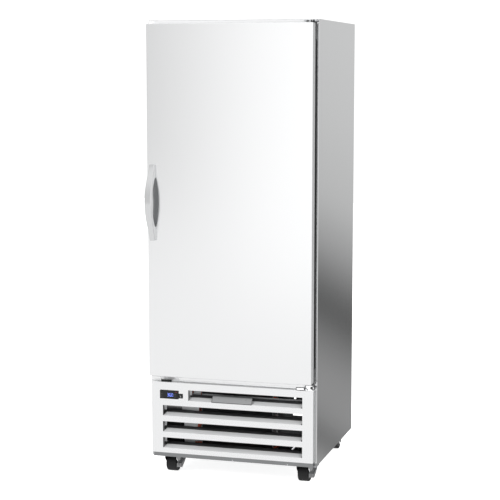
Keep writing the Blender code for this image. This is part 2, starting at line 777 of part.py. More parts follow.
def condenser():
    middle_y = (CONDENSER_FRONT + CONDENSER_BACK) / 2
    pitch = (CONDENSER_HIGH - CONDENSER_LOW) / TUBE_ROWS
    heights = [CONDENSER_LOW + pitch * (row + 0.5) for row in range(TUBE_ROWS)]
    fins = block(
        (CONDENSER_LEFT, CONDENSER_FRONT, CONDENSER_LOW),
        (CONDENSER_RIGHT, CONDENSER_BACK, CONDENSER_HIGH),
    )
    holes = [
        rod((0, middle_y, height), "X", TUBE_RADIUS + 0.0008, -0.3, 0.3, 12) for height in heights
    ]
    finish(cut(fins, *holes), "condenser_fins", "black_fins")
    left = CONDENSER_LEFT - 0.001 - pitch / 2
    right = CONDENSER_RIGHT + 0.001 + pitch / 2
    corners = [(left + 0.012, middle_y, heights[0])]
    for row, height in enumerate(heights):
        ends = (right, left) if row % 2 == 0 else (left, right)
        if row:
            corners.append((ends[1], middle_y, height))
        if row < TUBE_ROWS - 1:
            corners.append((ends[0], middle_y, height))
    corners.append((left + 0.012, middle_y, heights[-1]))
    path = rounded_path(corners, pitch / 2 - 0.0005, 5)
    finish(pipe(path, TUBE_RADIUS), "condenser_tubes", "copper")
    return (left + 0.012, middle_y, heights[-1])


def condenser_fan():
    centre_x = (SHROUD_LEFT + SHROUD_RIGHT) / 2
    centre_z = (CONDENSER_LOW + CONDENSER_HIGH) / 2
    low = CONDENSER_LOW - SHROUD_MARGIN
    high = CONDENSER_HIGH + SHROUD_MARGIN
    front = CONDENSER_BACK + GAP
    body = block((SHROUD_LEFT, front, low), (SHROUD_RIGHT, SHROUD_BACK, high))
    hollow = block(
        (SHROUD_LEFT + SHEET, front - 0.01, low + SHEET),
        (SHROUD_RIGHT - SHEET, SHROUD_BACK - SHEET, high - SHEET),
    )
    throat_radius = CONDENSER_FAN_RADIUS + 0.010
    throat = rod((centre_x, SHROUD_BACK, centre_z), "Y", throat_radius, -0.02, 0.02, 32)
    baffle = block(
        (CONDENSER_RIGHT + 0.002, front, low),
        (SHROUD_RIGHT, front + SHEET, high),
    )
    shroud = union(cut(body, hollow, throat), baffle)
    finish(shroud, "condenser_shroud", "black_paint")

    hub_back = SHROUD_BACK - 0.0068
    hub_thick = 0.024
    hub_middle = (centre_x, hub_back - hub_thick / 2, centre_z)
    pivot = add_pivot("condenser_fan_pivot", hub_middle)
    blade = fan_blade(hub_middle, CONDENSER_FAN_RADIUS, 0.022, 4, hub_thick)
    finish(blade, "condenser_fan_blade", "aluminium", pivot)

    profile = [
        (0, hub_back + GAP),
        (0.0035, hub_back + GAP),
        (0.0035, SHROUD_BACK + 0.002),
        (0.030, SHROUD_BACK + 0.002),
        (0.038, SHROUD_BACK + 0.012),
        (0.038, SHROUD_BACK + 0.055),
        (0.030, SHROUD_BACK + 0.065),
        (0, SHROUD_BACK + 0.065),
    ]
    motor = turned(profile, (centre_x, 0, centre_z), "Y")
    reach = CONDENSER_FAN_RADIUS + 0.020
    upright = block(
        (centre_x - 0.007, SHROUD_BACK + GAP, centre_z - reach),
        (centre_x + 0.007, SHROUD_BACK + 0.005, centre_z + reach),
    )
    level = block(
        (centre_x - reach, SHROUD_BACK + GAP, centre_z - 0.007),
        (centre_x + reach, SHROUD_BACK + 0.005, centre_z + 0.007),
    )
    finish(union(motor, upright, level), "condenser_fan_motor", "black_paint")


def compressor(inlet):
    floor = BASE + SHEET + 2 * GAP + 0.002
    low = floor + 0.014
    high = BASE + 0.200
    radius = COMPRESSOR_RADIUS
    profile = [
        (0, low),
        (radius * 0.75, low),
        (radius * 0.96, low + 0.015),
        (radius, low + 0.035),
        (radius, high - 0.050),
        (radius * 0.94, high - 0.025),
        (radius * 0.70, high - 0.006),
        (radius * 0.35, high),
        (0, high),
    ]
    shell = turned(profile, (COMPRESSOR_X, COMPRESSOR_Y, 0), "Z")
    plate = block(
        (COMPRESSOR_X - 0.095, COMPRESSOR_Y - 0.050, low - 0.004),
        (COMPRESSOR_X + 0.095, COMPRESSOR_Y + 0.050, low + 0.002),
    )
    feet = []
    for dx in (-0.080, 0.080):
        for dy in (-0.035, 0.035):
            foot = rod((COMPRESSOR_X + dx, COMPRESSOR_Y + dy, 0), "Z", 0.011, floor, low - 0.001, 12)
            feet.append(foot)
    finish(union(shell, plate, *feet), "compressor_shell", "black_paint")

    stand_off = radius + 0.0015
    turn_z = BASE + 0.150
    hot_side = -0.200
    hot = [
        (COMPRESSOR_X, COMPRESSOR_Y - stand_off, turn_z - 0.030),
        (COMPRESSOR_X, COMPRESSOR_Y - 0.110, turn_z - 0.030),
        (hot_side, COMPRESSOR_Y - 0.110, turn_z - 0.030),
        (hot_side, inlet[1], turn_z - 0.030),
        (hot_side, inlet[1], inlet[2]),
        (inlet[0] - 0.0005, inlet[1], inlet[2]),
    ]
    finish(pipe(rounded_path(hot, 0.012), 0.004), "discharge_line", "copper")
    riser = COMPRESSOR_X + 0.120
    cold = [
        (COMPRESSOR_X + stand_off, COMPRESSOR_Y, BASE + 0.130),
        (riser, COMPRESSOR_Y, BASE + 0.130),
        (riser, COMPRESSOR_Y, BASE + 0.280),
        (riser, COMPRESSOR_Y + 0.120, BASE + 0.280),
        (riser, COMPRESSOR_Y + 0.120, FOAM_LOW - GAP),
    ]
    finish(pipe(rounded_path(cold, 0.014), 0.006), "suction_line", "copper")

    pan_low = (0.080, FRONT + 0.360, floor)
    pan_high = (0.270, FRONT + 0.600, BASE + 0.028)
    tray = block(pan_low, pan_high)
    room = block(
        (pan_low[0] + 0.002, pan_low[1] + 0.002, pan_low[2] + 0.002),
        (pan_high[0] - 0.002, pan_high[1] - 0.002, pan_high[2] + 0.01),
    )
    finish(cut(tray, room), "condensate_pan", "galvanised")


def evaporator():
    wall = 0.0015
    half = EVAPORATOR_HALF
    body = block((-half, EVAPORATOR_FRONT, EVAPORATOR_LOW), (half, EVAPORATOR_BACK, EVAPORATOR_HIGH))
    hollow = block(
        (-half + wall, EVAPORATOR_FRONT + wall, EVAPORATOR_LOW + wall),
        (half - wall, EVAPORATOR_BACK + 0.01, EVAPORATOR_HIGH + 0.01),
    )
    throat_radius = EVAPORATOR_FAN_RADIUS + 0.006
    throat = rod((0, EVAPORATOR_FRONT, EVAPORATOR_FAN_Z), "Y", throat_radius, -0.02, 0.02)
    intake = block(
        (-0.200, EVAPORATOR_BACK - 0.070, EVAPORATOR_LOW - 0.01),
        (0.200, EVAPORATOR_BACK - 0.030, EVAPORATOR_LOW + 0.01),
    )
    finish(cut(body, hollow, throat, intake), "evaporator_cover", "aluminium")

    floor = EVAPORATOR_LOW + wall + GAP
    coil_front = EVAPORATOR_FRONT + 0.125
    coil_back = EVAPORATOR_FRONT + 0.285
    coil_half = 0.215
    coil_high = EVAPORATOR_HIGH - 0.018
    coil = block((-coil_half, coil_front, floor), (coil_half, coil_back, coil_high))
    bends = []
    for sign in (-1, 1):
        for row in range(3):
            height = floor + 0.028 + 0.038 * row
            ends = [
                (sign * (coil_half - 0.006), coil_front + 0.040, height),
                (sign * (coil_half + 0.020), coil_front + 0.040, height),
                (sign * (coil_half + 0.020), coil_front + 0.080, height),
                (sign * (coil_half - 0.006), coil_front + 0.080, height),
            ]
            bends.append(pipe(rounded_path(ends, 0.015), TUBE_RADIUS))
    finish(union(coil, *bends), "evaporator_coil", "aluminium")

    hub_thick = 0.020
    hub_front = EVAPORATOR_FRONT + 0.008
    hub_middle = (0, hub_front + hub_thick / 2, EVAPORATOR_FAN_Z)
    pivot = add_pivot("evaporator_fan_pivot", hub_middle)
    blade = fan_blade(hub_middle, EVAPORATOR_FAN_RADIUS, 0.016, 5, hub_thick)
    finish(blade, "evaporator_fan_blade", "aluminium", pivot)
    motor_front = hub_front + hub_thick + GAP
    profile = [
        (0, motor_front),
        (0.003, motor_front),
        (0.003, motor_front + 0.012),
        (0.026, motor_front + 0.014),
        (0.028, motor_front + 0.050),
        (0, motor_front + 0.052),
    ]
    motor = turned(profile, (0, 0, EVAPORATOR_FAN_Z), "Y")
    foot = block(
        (-0.015, motor_front + 0.022, floor),
        (0.015, motor_front + 0.042, EVAPORATOR_FAN_Z - 0.010),
    )
    finish(union(motor, foot), "evaporator_fan_motor", "black_paint")

    ceiling = LINER_HIGH - LINER_WALL - GAP
    outline = [
        (FRONT + 0.036, ceiling),
        (FRONT + 0.040, ceiling - 0.014),
        (FRONT + 0.048, ceiling - 0.020),
        (FRONT + 0.062, ceiling - 0.020),
        (FRONT + 0.070, ceiling - 0.014),
        (FRONT + 0.074, ceiling),
    ]
    finish(prism(outline, "X", -0.110, 0.110), "interior_lamp", "lamp")


def caster_plate(name, x, y):
    high = BASE - GAP
    plate = block((x - 0.0425, y - 0.0475, high - 0.003), (x + 0.0425, y + 0.0475, high))
    race = rod((x, y, 0), "Z", 0.022, high - 0.009, high - 0.002, 20)
    finish(union(plate, race), name, "zinc")


def caster_fork(x, y, trail, with_brake_pin):
    """Crown, two legs and the axle; trail is the axle's signed offset in Y from the swivel."""
    high = BASE - 0.009 - 2 * GAP
    crown_low = high - 0.0034
    turn = math.copysign(1, trail)
    ends = sorted((y - turn * CROWN_BACK, y + turn * CROWN_FRONT))
    crown = block((x - LEG_OUTER, ends[0], crown_low), (x + LEG_OUTER, ends[1], high))
    outline = [
        (y - turn * (CROWN_BACK - 0.001), high - 0.0005),
        (y + turn * (CROWN_FRONT - 0.001), high - 0.0005),
        (y + turn * 0.037, WHEEL_RADIUS + 0.008),
        (y + turn * 0.036, WHEEL_RADIUS - 0.010),
        (y + turn * 0.028, WHEEL_RADIUS - 0.014),
        (y + turn * 0.020, WHEEL_RADIUS - 0.010),
        (y - turn * 0.008, WHEEL_RADIUS + 0.016),
    ]
    if trail < 0:
        outline.reverse()
    legs = []
    for sign in (-1, 1):
        edges = sorted((x + sign * LEG_INNER, x + sign * (LEG_OUTER + 0.0002)))
        legs.append(prism(outline, "X", edges[0], edges[1]))
    axle_reach = LEG_OUTER + 0.0006
    axle = rod((x, y + trail, WHEEL_RADIUS), "X", 0.004, -axle_reach, axle_reach, 16)
    parts = [*legs, axle]
    if with_brake_pin:
        pin_place = brake_pin_place(x, y)
        parts.append(rod(pin_place, "X", 0.0025, LEG_OUTER - 0.001, LEG_OUTER + 0.005, 12))
    return union(crown, *parts)


def brake_pin_place(x, y):
    return (x, y - 0.010, BASE - 0.026)


def wheel(x, y):
    bore = 0.0045
    radius = WHEEL_RADIUS / math.cos(math.pi / WHEEL_SEGMENTS)
    half_profile = [
        (bore, WHEEL_HALF),
        (0.011, WHEEL_HALF),
        (0.012, WHEEL_HALF - 0.005),
        (0.024, WHEEL_HALF - 0.005),
        (0.026, WHEEL_HALF - 0.001),
        (radius - 0.003, WHEEL_HALF - 0.001),
        (radius, WHEEL_HALF - 0.005),
    ]
    profile = half_profile + [(r, -along) for r, along in reversed(half_profile)]
    return turned(profile, (x, y, WHEEL_RADIUS), "X", WHEEL_SEGMENTS, closed=True)


def brake_lever(x, y):
    pin = brake_pin_place(x, y)
    inner = x + LEG_OUTER + 0.0006
    eye = rod(pin, "X", 0.0065, inner - x, inner - x + 0.003, 16)
    heel = (pin[1] + 0.012, pin[2] - 0.001)
    knee = (pin[1] - 0.038, pin[2] - 0.009)
    toe = (pin[1] - 0.058, pin[2] - 0.014)
    lip = (pin[1] - 0.056, pin[2] - 0.031)
    pressing = prism(sheet_outline([heel, knee, toe, lip], 0.0025), "X", inner, inner + PEDAL_WIDTH)
    cheek_outline = [
        heel,
        (pin[1] + 0.006, pin[2] - 0.008),
        (pin[1] - 0.014, pin[2] - 0.021),
        (pin[1] - 0.040, pin[2] - 0.034),
        lip,
        toe,
        knee,
    ]
    cheek = prism(cheek_outline, "X", inner + PEDAL_WIDTH - 0.0025, inner + PEDAL_WIDTH)
    hole = rod(pin, "X", 0.0028, 0.0, 0.05, 12)
    return cut(union(eye, pressing, cheek), hole)


def casters():
    places = {
        "front_left": (-CASTER_X, FRONT_CASTER_Y, -CASTER_TRAIL),
        "front_right": (CASTER_X, FRONT_CASTER_Y, -CASTER_TRAIL),
        "rear_left": (-CASTER_X, REAR_CASTER_Y, CASTER_TRAIL),
        "rear_right": (CASTER_X, REAR_CASTER_Y, CASTER_TRAIL),
    }
    for place, (x, y, trail) in places.items():
        braked = place.startswith("front")
        caster_plate(f"caster_plate_{place}", x, y)
        swivel = add_pivot(f"swivel_{place}", (x, y, BASE - 0.012))
        finish(caster_fork(x, y, trail, braked), f"caster_fork_{place}", "zinc", swivel)
        axle = add_pivot(f"axle_{place}", (x, y + trail, WHEEL_RADIUS), swivel)
        finish(wheel(x, y + trail), f"caster_wheel_{place}", "tread", axle)
        if braked:
            pin = add_pivot(f"brake_{place}", brake_pin_place(x, y), swivel)
            finish(brake_lever(x, y), f"brake_lever_{place}", "zinc", pin)


def cabinet():
    side_panel("side_panel_left", -1)
    side_panel("side_panel_right", 1)
    top_panel()
    back_panel()
    insulation()
    inner_liner()
    face_frame()
    base_pan()
    pilasters()
    shelves()


def front_trim():
    grille()
    nameplate()
    controller()
    power_switch()
    lock_keeper()


def main():
    clear_scene()
    cabinet()
    front_trim()
    cartridge_mouth = hinges()
    door(add_pivot("door_pivot", (HINGE_X, HINGE_Y, DOOR_LOW)), cartridge_mouth)
    discharge_end = condenser()
    condenser_fan()
    compressor(discharge_end)
    evaporator()
    casters()


main()
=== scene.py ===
import json
import math

import bmesh
import bpy
from mathutils import Matrix, Vector


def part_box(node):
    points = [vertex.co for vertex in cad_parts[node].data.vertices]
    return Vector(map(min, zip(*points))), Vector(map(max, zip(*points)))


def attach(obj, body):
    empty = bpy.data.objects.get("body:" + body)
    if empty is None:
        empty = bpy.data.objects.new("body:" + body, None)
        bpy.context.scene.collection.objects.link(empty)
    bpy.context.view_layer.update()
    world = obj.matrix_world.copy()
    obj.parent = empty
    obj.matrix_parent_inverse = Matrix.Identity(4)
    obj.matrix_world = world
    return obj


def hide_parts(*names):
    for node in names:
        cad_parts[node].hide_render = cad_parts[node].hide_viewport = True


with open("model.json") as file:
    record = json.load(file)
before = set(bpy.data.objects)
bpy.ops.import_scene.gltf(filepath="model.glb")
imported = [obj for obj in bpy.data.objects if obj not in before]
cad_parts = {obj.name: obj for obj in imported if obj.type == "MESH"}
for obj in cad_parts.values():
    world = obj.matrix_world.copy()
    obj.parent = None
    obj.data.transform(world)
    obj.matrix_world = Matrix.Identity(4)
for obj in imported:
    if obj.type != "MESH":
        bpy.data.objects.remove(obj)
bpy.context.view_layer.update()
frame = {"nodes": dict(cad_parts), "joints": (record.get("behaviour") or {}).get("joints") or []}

SIDES = (("left", -1), ("right", 1))
CLOSE = 1e-6
SHEET = 0.0012


# Shapes. Each adds to a bmesh, in metres, in the frame's own coordinates.


def to_axis(axis, u, v, along):
    """Y, Z for axis X; X, Z for axis Y; X, Y for axis Z."""
    return {"X": (along, u, v), "Y": (u, along, v), "Z": (u, v, along)}[axis]


def axis_frame(axis):
    if isinstance(axis, str):
        axis = {"X": (1, 0, 0), "Y": (0, 1, 0), "Z": (0, 0, 1)}[axis]
    return Vector((0, 0, 1)).rotation_difference(Vector(axis).normalized()).to_matrix().to_4x4()


def bridge(shape, one, two, closed=True):
    """Join two rows of vertices with quads."""
    count = len(one)
    for i in range(count if closed else count - 1):
        j = (i + 1) % count
        shape.faces.new((one[i], one[j], two[j], two[i]))


def add_box(shape, low, high):
    verts = [
        shape.verts.new((x, y, z))
        for x in (low[0], high[0])
        for y in (low[1], high[1])
        for z in (low[2], high[2])
    ]
    for quad in ((0, 1, 3, 2), (4, 6, 7, 5), (0, 4, 5, 1), (2, 3, 7, 6), (0, 2, 6, 4), (1, 5, 7, 3)):
        shape.faces.new([verts[i] for i in quad])


def add_prism(shape, outline, axis, low, high):
    near = [shape.verts.new(to_axis(axis, u, v, low)) for u, v in outline]
    far = [shape.verts.new(to_axis(axis, u, v, high)) for u, v in outline]
    shape.faces.new(near)
    shape.faces.new(list(reversed(far)))
    bridge(shape, far, near)


def add_lathe(shape, profile, centre, axis="Z", steps=48, closed=False):
    """Spin (radius, distance along the axis) about the axis through the centre."""
    place = Matrix.Translation(Vector(centre)) @ axis_frame(axis)
    rings = []
    for radius, along in profile:
        if radius < 1e-7:
            rings.append([shape.verts.new(place @ Vector((0, 0, along)))])
            continue
        spots = circle(steps, radius, 0.5)
        rings.append([shape.verts.new(place @ Vector((*spot, along))) for spot in spots])
    pairs = list(zip(rings, rings[1:]))
    if closed:
        pairs.append((rings[-1], rings[0]))
    for one, two in pairs:
        for step in range(steps):
            after = (step + 1) % steps
            quad = [one[step % len(one)], one[after % len(one)]]
            quad += [two[after % len(two)], two[step % len(two)]]
            quad = list(dict.fromkeys(quad))
            if len(quad) > 2:
                shape.faces.new(quad)
    if not closed:
        for ring in (rings[0][::-1], rings[-1]):
            if len(ring) > 1:
                shape.faces.new(ring)


def add_tube(shape, path, radius, sides=10, closed=False):
    """A round rod along a path; its ends are capped unless the path closes on itself."""
    points = [Vector(point) for point in path]
    count = len(points)
    tangents = []
    for i in range(count):
        before = points[(i - 1) % count] if closed else points[max(i - 1, 0)]
        after = points[(i + 1) % count] if closed else points[min(i + 1, count - 1)]
        tangents.append((after - before).normalized())
    side = tangents[0].orthogonal().normalized()
    rings = []
    for point, tangent in zip(points, tangents):
        side = (side - tangent * side.dot(tangent)).normalized()
        other = tangent.cross(side)
        rings.append([shape.verts.new(point + (side * u + other * v) * radius) for u, v in circle(sides)])
    for one, two in zip(rings, rings[1:]):
        bridge(shape, one, two)
    if closed:
        bridge(shape, rings[-1], rings[0])
    else:
        shape.faces.new(rings[0][::-1])
        shape.faces.new(rings[-1])


def add_ring_plate(shape, outer, inner, axis, low, high):
    """A flat ring between two outlines with the same number of points."""
    loops = []
    for outline, along in ((outer, low), (outer, high), (inner, high), (inner, low)):
        loops.append([shape.verts.new(to_axis(axis, u, v, along)) for u, v in outline])
    for one, two in zip(loops, [*loops[1:], loops[0]]):
        bridge(shape, one, two)


def add_dish(shape, steps):
    """A pressed form: outlines in X and Z, each at its depth in Y, joined, and the last one filled."""
    rings = [[shape.verts.new((u, depth, v)) for u, v in outline] for outline, depth in steps]
    for one, two in zip(rings, rings[1:]):
        bridge(shape, one, two)
    shape.faces.new(rings[-1])


def circle(count, radius=1.0, start=0.0):
    turns = [math.tau * (k + start) / count for k in range(count)]
    return [(radius * math.cos(turn), radius * math.sin(turn)) for turn in turns]


def ellipse(u, v, wide, tall, count):
    return [(u + wide * across, v + tall * up) for across, up in circle(count)]


def rectangle(low_u, low_v, high_u, high_v):
    return [(low_u, low_v), (high_u, low_v), (high_u, high_v), (low_u, high_v)]


def rounded(points, radius, steps=6, closed=False):
    """A path with each corner replaced by an arc. Works in two or three dimensions."""
    points = [Vector(point) for point in points]
    count = len(points)
    path = [] if closed else [points[0]]
    for i in range(0 if closed else 1, count if closed else count - 1):
        corner = points[i]
        to_before = (points[i - 1] - corner).normalized()
        to_after = (points[(i + 1) % count] - corner).normalized()
        half = to_before.angle(to_after) / 2
        centre = corner + (to_before + to_after).normalized() * radius / math.sin(half)
        start = corner + to_before * radius / math.tan(half) - centre
        end = corner + to_after * radius / math.tan(half) - centre
        sweep = math.pi - 2 * half
        for step in range(steps + 1):
            share = step / steps
            arc = math.sin((1 - share) * sweep) * start + math.sin(share * sweep) * end
            path.append(centre + arc / math.sin(sweep))
    if not closed:
        path.append(points[-1])
    return path


def soft_rectangle(low_u, low_v, high_u, high_v, radius, steps, inset=0.0):
    """A rectangle with rounded corners, drawn in by the inset."""
    outline = rectangle(low_u + inset, low_v + inset, high_u - inset, high_v - inset)
    return [tuple(point) for point in rounded(outline, radius, steps, closed=True)]


def add_pierced_sheet(shape, outer, holes, axis, along):
    """A flat sheet of quads with rectangular holes."""
    rects = [outer, *holes]
    us = sorted({edge for rect in rects for edge in (rect[0], rect[2])})
    vs = sorted({edge for rect in rects for edge in (rect[1], rect[3])})
    verts = {}

    def vert(u, v):
        if (u, v) not in verts:
            verts[u, v] = shape.verts.new(to_axis(axis, u, v, along))
        return verts[u, v]

    for low_u, high_u in zip(us, us[1:]):
        for low_v, high_v in zip(vs, vs[1:]):
            u, v = (low_u + high_u) / 2, (low_v + high_v) / 2
            if not any(hole[0] < u < hole[2] and hole[1] < v < hole[3] for hole in holes):
                shape.faces.new([vert(*corner) for corner in rectangle(low_u, low_v, high_u, high_v)])


def lies_on(edge, sides):
    """Whether an edge lies on one of the sides, each an axis and a value."""
    return any(
        all(abs(getattr(vert.co, axis) - side) < CLOSE for vert in edge.verts) for axis, side in sides
    )


def turn_in(shape, edges, axis, value):
    """Fold a flange from the edges of a sheet back to a plane across an axis."""
    for part in bmesh.ops.extrude_edge_only(shape, edges=edges)["geom"]:
        if isinstance(part, bmesh.types.BMVert):
            setattr(part.co, axis, value)


def bevel_edges(shape, wanted, radius):
    edges = [edge for edge in shape.edges if wanted(edge)]
    bmesh.ops.bevel(shape, geom=edges, offset=radius, segments=4, profile=0.5, affect="EDGES")


def folded_tray(low, high, open_sides, edge_radius):
    """A box of thin sheet with some sides left open; open_sides holds outward directions."""
    shape = bmesh.new()
    add_box(shape, low, high)
    bmesh.ops.recalc_face_normals(shape, faces=shape.faces)
    doomed = [
        face for face in shape.faces if any(face.normal.dot(Vector(side)) > 0.9 for side in open_sides)
    ]
    bmesh.ops.delete(shape, geom=doomed, context="FACES")
    bevel_edges(shape, lambda edge: len(edge.link_faces) == 2, edge_radius)
    return shape


# Materials. All are procedural, in object coordinates.


def new_material(name, metallic=0.0):
    material = bpy.data.materials.new(name)
    material.use_nodes = True
    tree = material.node_tree
    shader = tree.nodes["Principled BSDF"]
    shader.inputs["Metallic"].default_value = metallic
    return material, tree, shader


def noise_at(tree, scale, detail=4.0, stretch=(1, 1, 1)):
    coords = tree.nodes.new("ShaderNodeTexCoord")
    mapping = tree.nodes.new("ShaderNodeMapping")
    mapping.inputs["Scale"].default_value = stretch
    noise = tree.nodes.new("ShaderNodeTexNoise")
    noise.inputs["Scale"].default_value = scale
    noise.inputs["Detail"].default_value = detail
    tree.links.new(coords.outputs["Object"], mapping.inputs["Vector"])
    tree.links.new(mapping.outputs["Vector"], noise.inputs["Vector"])
    return noise.outputs["Fac"]


def remap(tree, value, low, high, start=0.3, end=0.7, smooth=False):
    ranged = tree.nodes.new("ShaderNodeMapRange")
    ranged.interpolation_type = "SMOOTHSTEP" if smooth else "LINEAR"
    for key, number in (("From Min", start), ("From Max", end), ("To Min", low), ("To Max", high)):
        ranged.inputs[key].default_value = number
    tree.links.new(value, ranged.inputs["Value"])
    return ranged.outputs["Result"]


def blend(tree, factor, one, two, kind="RGBA"):
    """Mix two colours, or two numbers where the kind is FLOAT; either may be another node's output."""
    mix = tree.nodes.new("ShaderNodeMix")
    mix.data_type = kind
    socket_type = {"RGBA": "RGBA", "FLOAT": "VALUE"}[kind]
    tree.links.new(factor, mix.inputs["Factor"])
    sockets = [s for s in mix.inputs if s.name in ("A", "B") and s.type == socket_type]
    for socket, value in zip(sockets, (one, two)):
        if isinstance(value, bpy.types.NodeSocket):
            tree.links.new(value, socket)
        else:
            socket.default_value = (*value, 1) if kind == "RGBA" else value
    return [s for s in mix.outputs if s.type == socket_type][0]


def add_bump(tree, shader, height, strength, distance):
    bump = tree.nodes.new("ShaderNodeBump")
    bump.inputs["Strength"].default_value = strength
    bump.inputs["Distance"].default_value = distance
    tree.links.new(height, bump.inputs["Height"])
    tree.links.new(bump.outputs["Normal"], shader.inputs["Normal"])


def shaded(colour, share):
    return tuple(min(1.0, max(0.0, part * share)) for part in colour)


def brushed(name, colour, roughness, stretch, tint=0.03, depth=0.02, smudge=0.04):
    """Brushed steel: fine streaks along the short axis of stretch, and wide soft smudges."""
    material, tree, shader = new_material(name, 1.0)
    streaks = noise_at(tree, 1.0, 3.0, stretch)
    smudges = noise_at(tree, 2.2, 2.0)
    grained = blend(tree, remap(tree, streaks, 0, 1), shaded(colour, 1 - tint), shaded(colour, 1 + tint))
    soft = blend(tree, remap(tree, smudges, 0, smudge), grained, shaded(colour, 0.85))
    tree.links.new(soft, shader.inputs["Base Color"])
    tree.links.new(remap(tree, streaks, roughness * 0.88, roughness * 1.12), shader.inputs["Roughness"])
    add_bump(tree, shader, streaks, depth, 0.0004)
    return material


def mottled(name, colour, roughness, metallic=0.0, scale=60.0, tint=0.08, depth=0.05, gloss=0.5):
    """A moulded, painted or cast surface with fine grain and faint uneven colour."""
    material, tree, shader = new_material(name, metallic)
    shader.inputs["Specular IOR Level"].default_value = gloss
    wide = noise_at(tree, scale * 0.12, 3.0)
    fine = noise_at(tree, scale * 12, 2.0)
    mixed = blend(tree, remap(tree, wide, 0, 1), shaded(colour, 1 - tint), shaded(colour, 1 + tint))
    tree.links.new(mixed, shader.inputs["Base Color"])
    rough = remap(tree, wide, roughness * 0.9, min(1.0, roughness * 1.12))
    tree.links.new(rough, shader.inputs["Roughness"])
    add_bump(tree, shader, fine, depth, 0.0004)
    return material


def spangled(name, colour, roughness):
    """Galvanised sheet: crystal-like patches of slightly different tone."""
    material, tree, shader = new_material(name, 1.0)
    coords = tree.nodes.new("ShaderNodeTexCoord")
    cells = tree.nodes.new("ShaderNodeTexVoronoi")
    cells.inputs["Scale"].default_value = 240.0
    tree.links.new(coords.outputs["Object"], cells.inputs["Vector"])
    tone = tree.nodes.new("ShaderNodeSeparateColor")
    tree.links.new(cells.outputs["Color"], tone.inputs["Color"])
    patch = tone.outputs["Red"]
    mixed = blend(tree, remap(tree, patch, 0, 1, 0, 1), shaded(colour, 0.93), shaded(colour, 1.06))
    tree.links.new(mixed, shader.inputs["Base Color"])
    rough = remap(tree, patch, roughness * 0.8, roughness * 1.2, 0, 1)
    tree.links.new(rough, shader.inputs["Roughness"])
    add_bump(tree, shader, noise_at(tree, 300.0), 0.04, 0.0002)
    return material


def glowing(name, colour, strength, base):
    """A lit surface with a faintly uneven base colour."""
    material, tree, shader = new_material(name)
    wide = noise_at(tree, 400.0, 2.0)
    mixed = blend(tree, remap(tree, wide, 0, 1), shaded(base, 0.9), shaded(base, 1.1))
    tree.links.new(mixed, shader.inputs["Base Color"])
    shader.inputs["Emission Color"].default_value = (*colour, 1)
    shader.inputs["Emission Strength"].default_value = strength
    shader.inputs["Roughness"].default_value = 0.4
    return material


LONG_X = (3, 700, 700)
LONG_Y = (700, 3, 700)
LONG_Z = (700, 700, 3)

# Colour, roughness, the streaks' direction, tint, bump depth, smudge
BRUSHED = {
    "door_steel": ((0.93, 0.935, 0.94), 0.16, LONG_Z, 0.010, 0.004, 0.015),
    "side_steel": ((0.645, 0.652, 0.656), 0.11, LONG_Z, 0.012, 0.004, 0.015),
    "top_steel": ((0.72, 0.73, 0.735), 0.24, LONG_Y, 0.020, 0.008, 0.03),
    "grille_steel": ((0.93, 0.935, 0.94), 0.18, LONG_X, 0.008, 0.0015, 0.010),
    "plate_steel": ((0.38, 0.385, 0.39), 0.30, LONG_X),
    "handle_steel": ((0.735, 0.742, 0.748), 0.17, LONG_Z, 0.012, 0.004, 0.01),
}

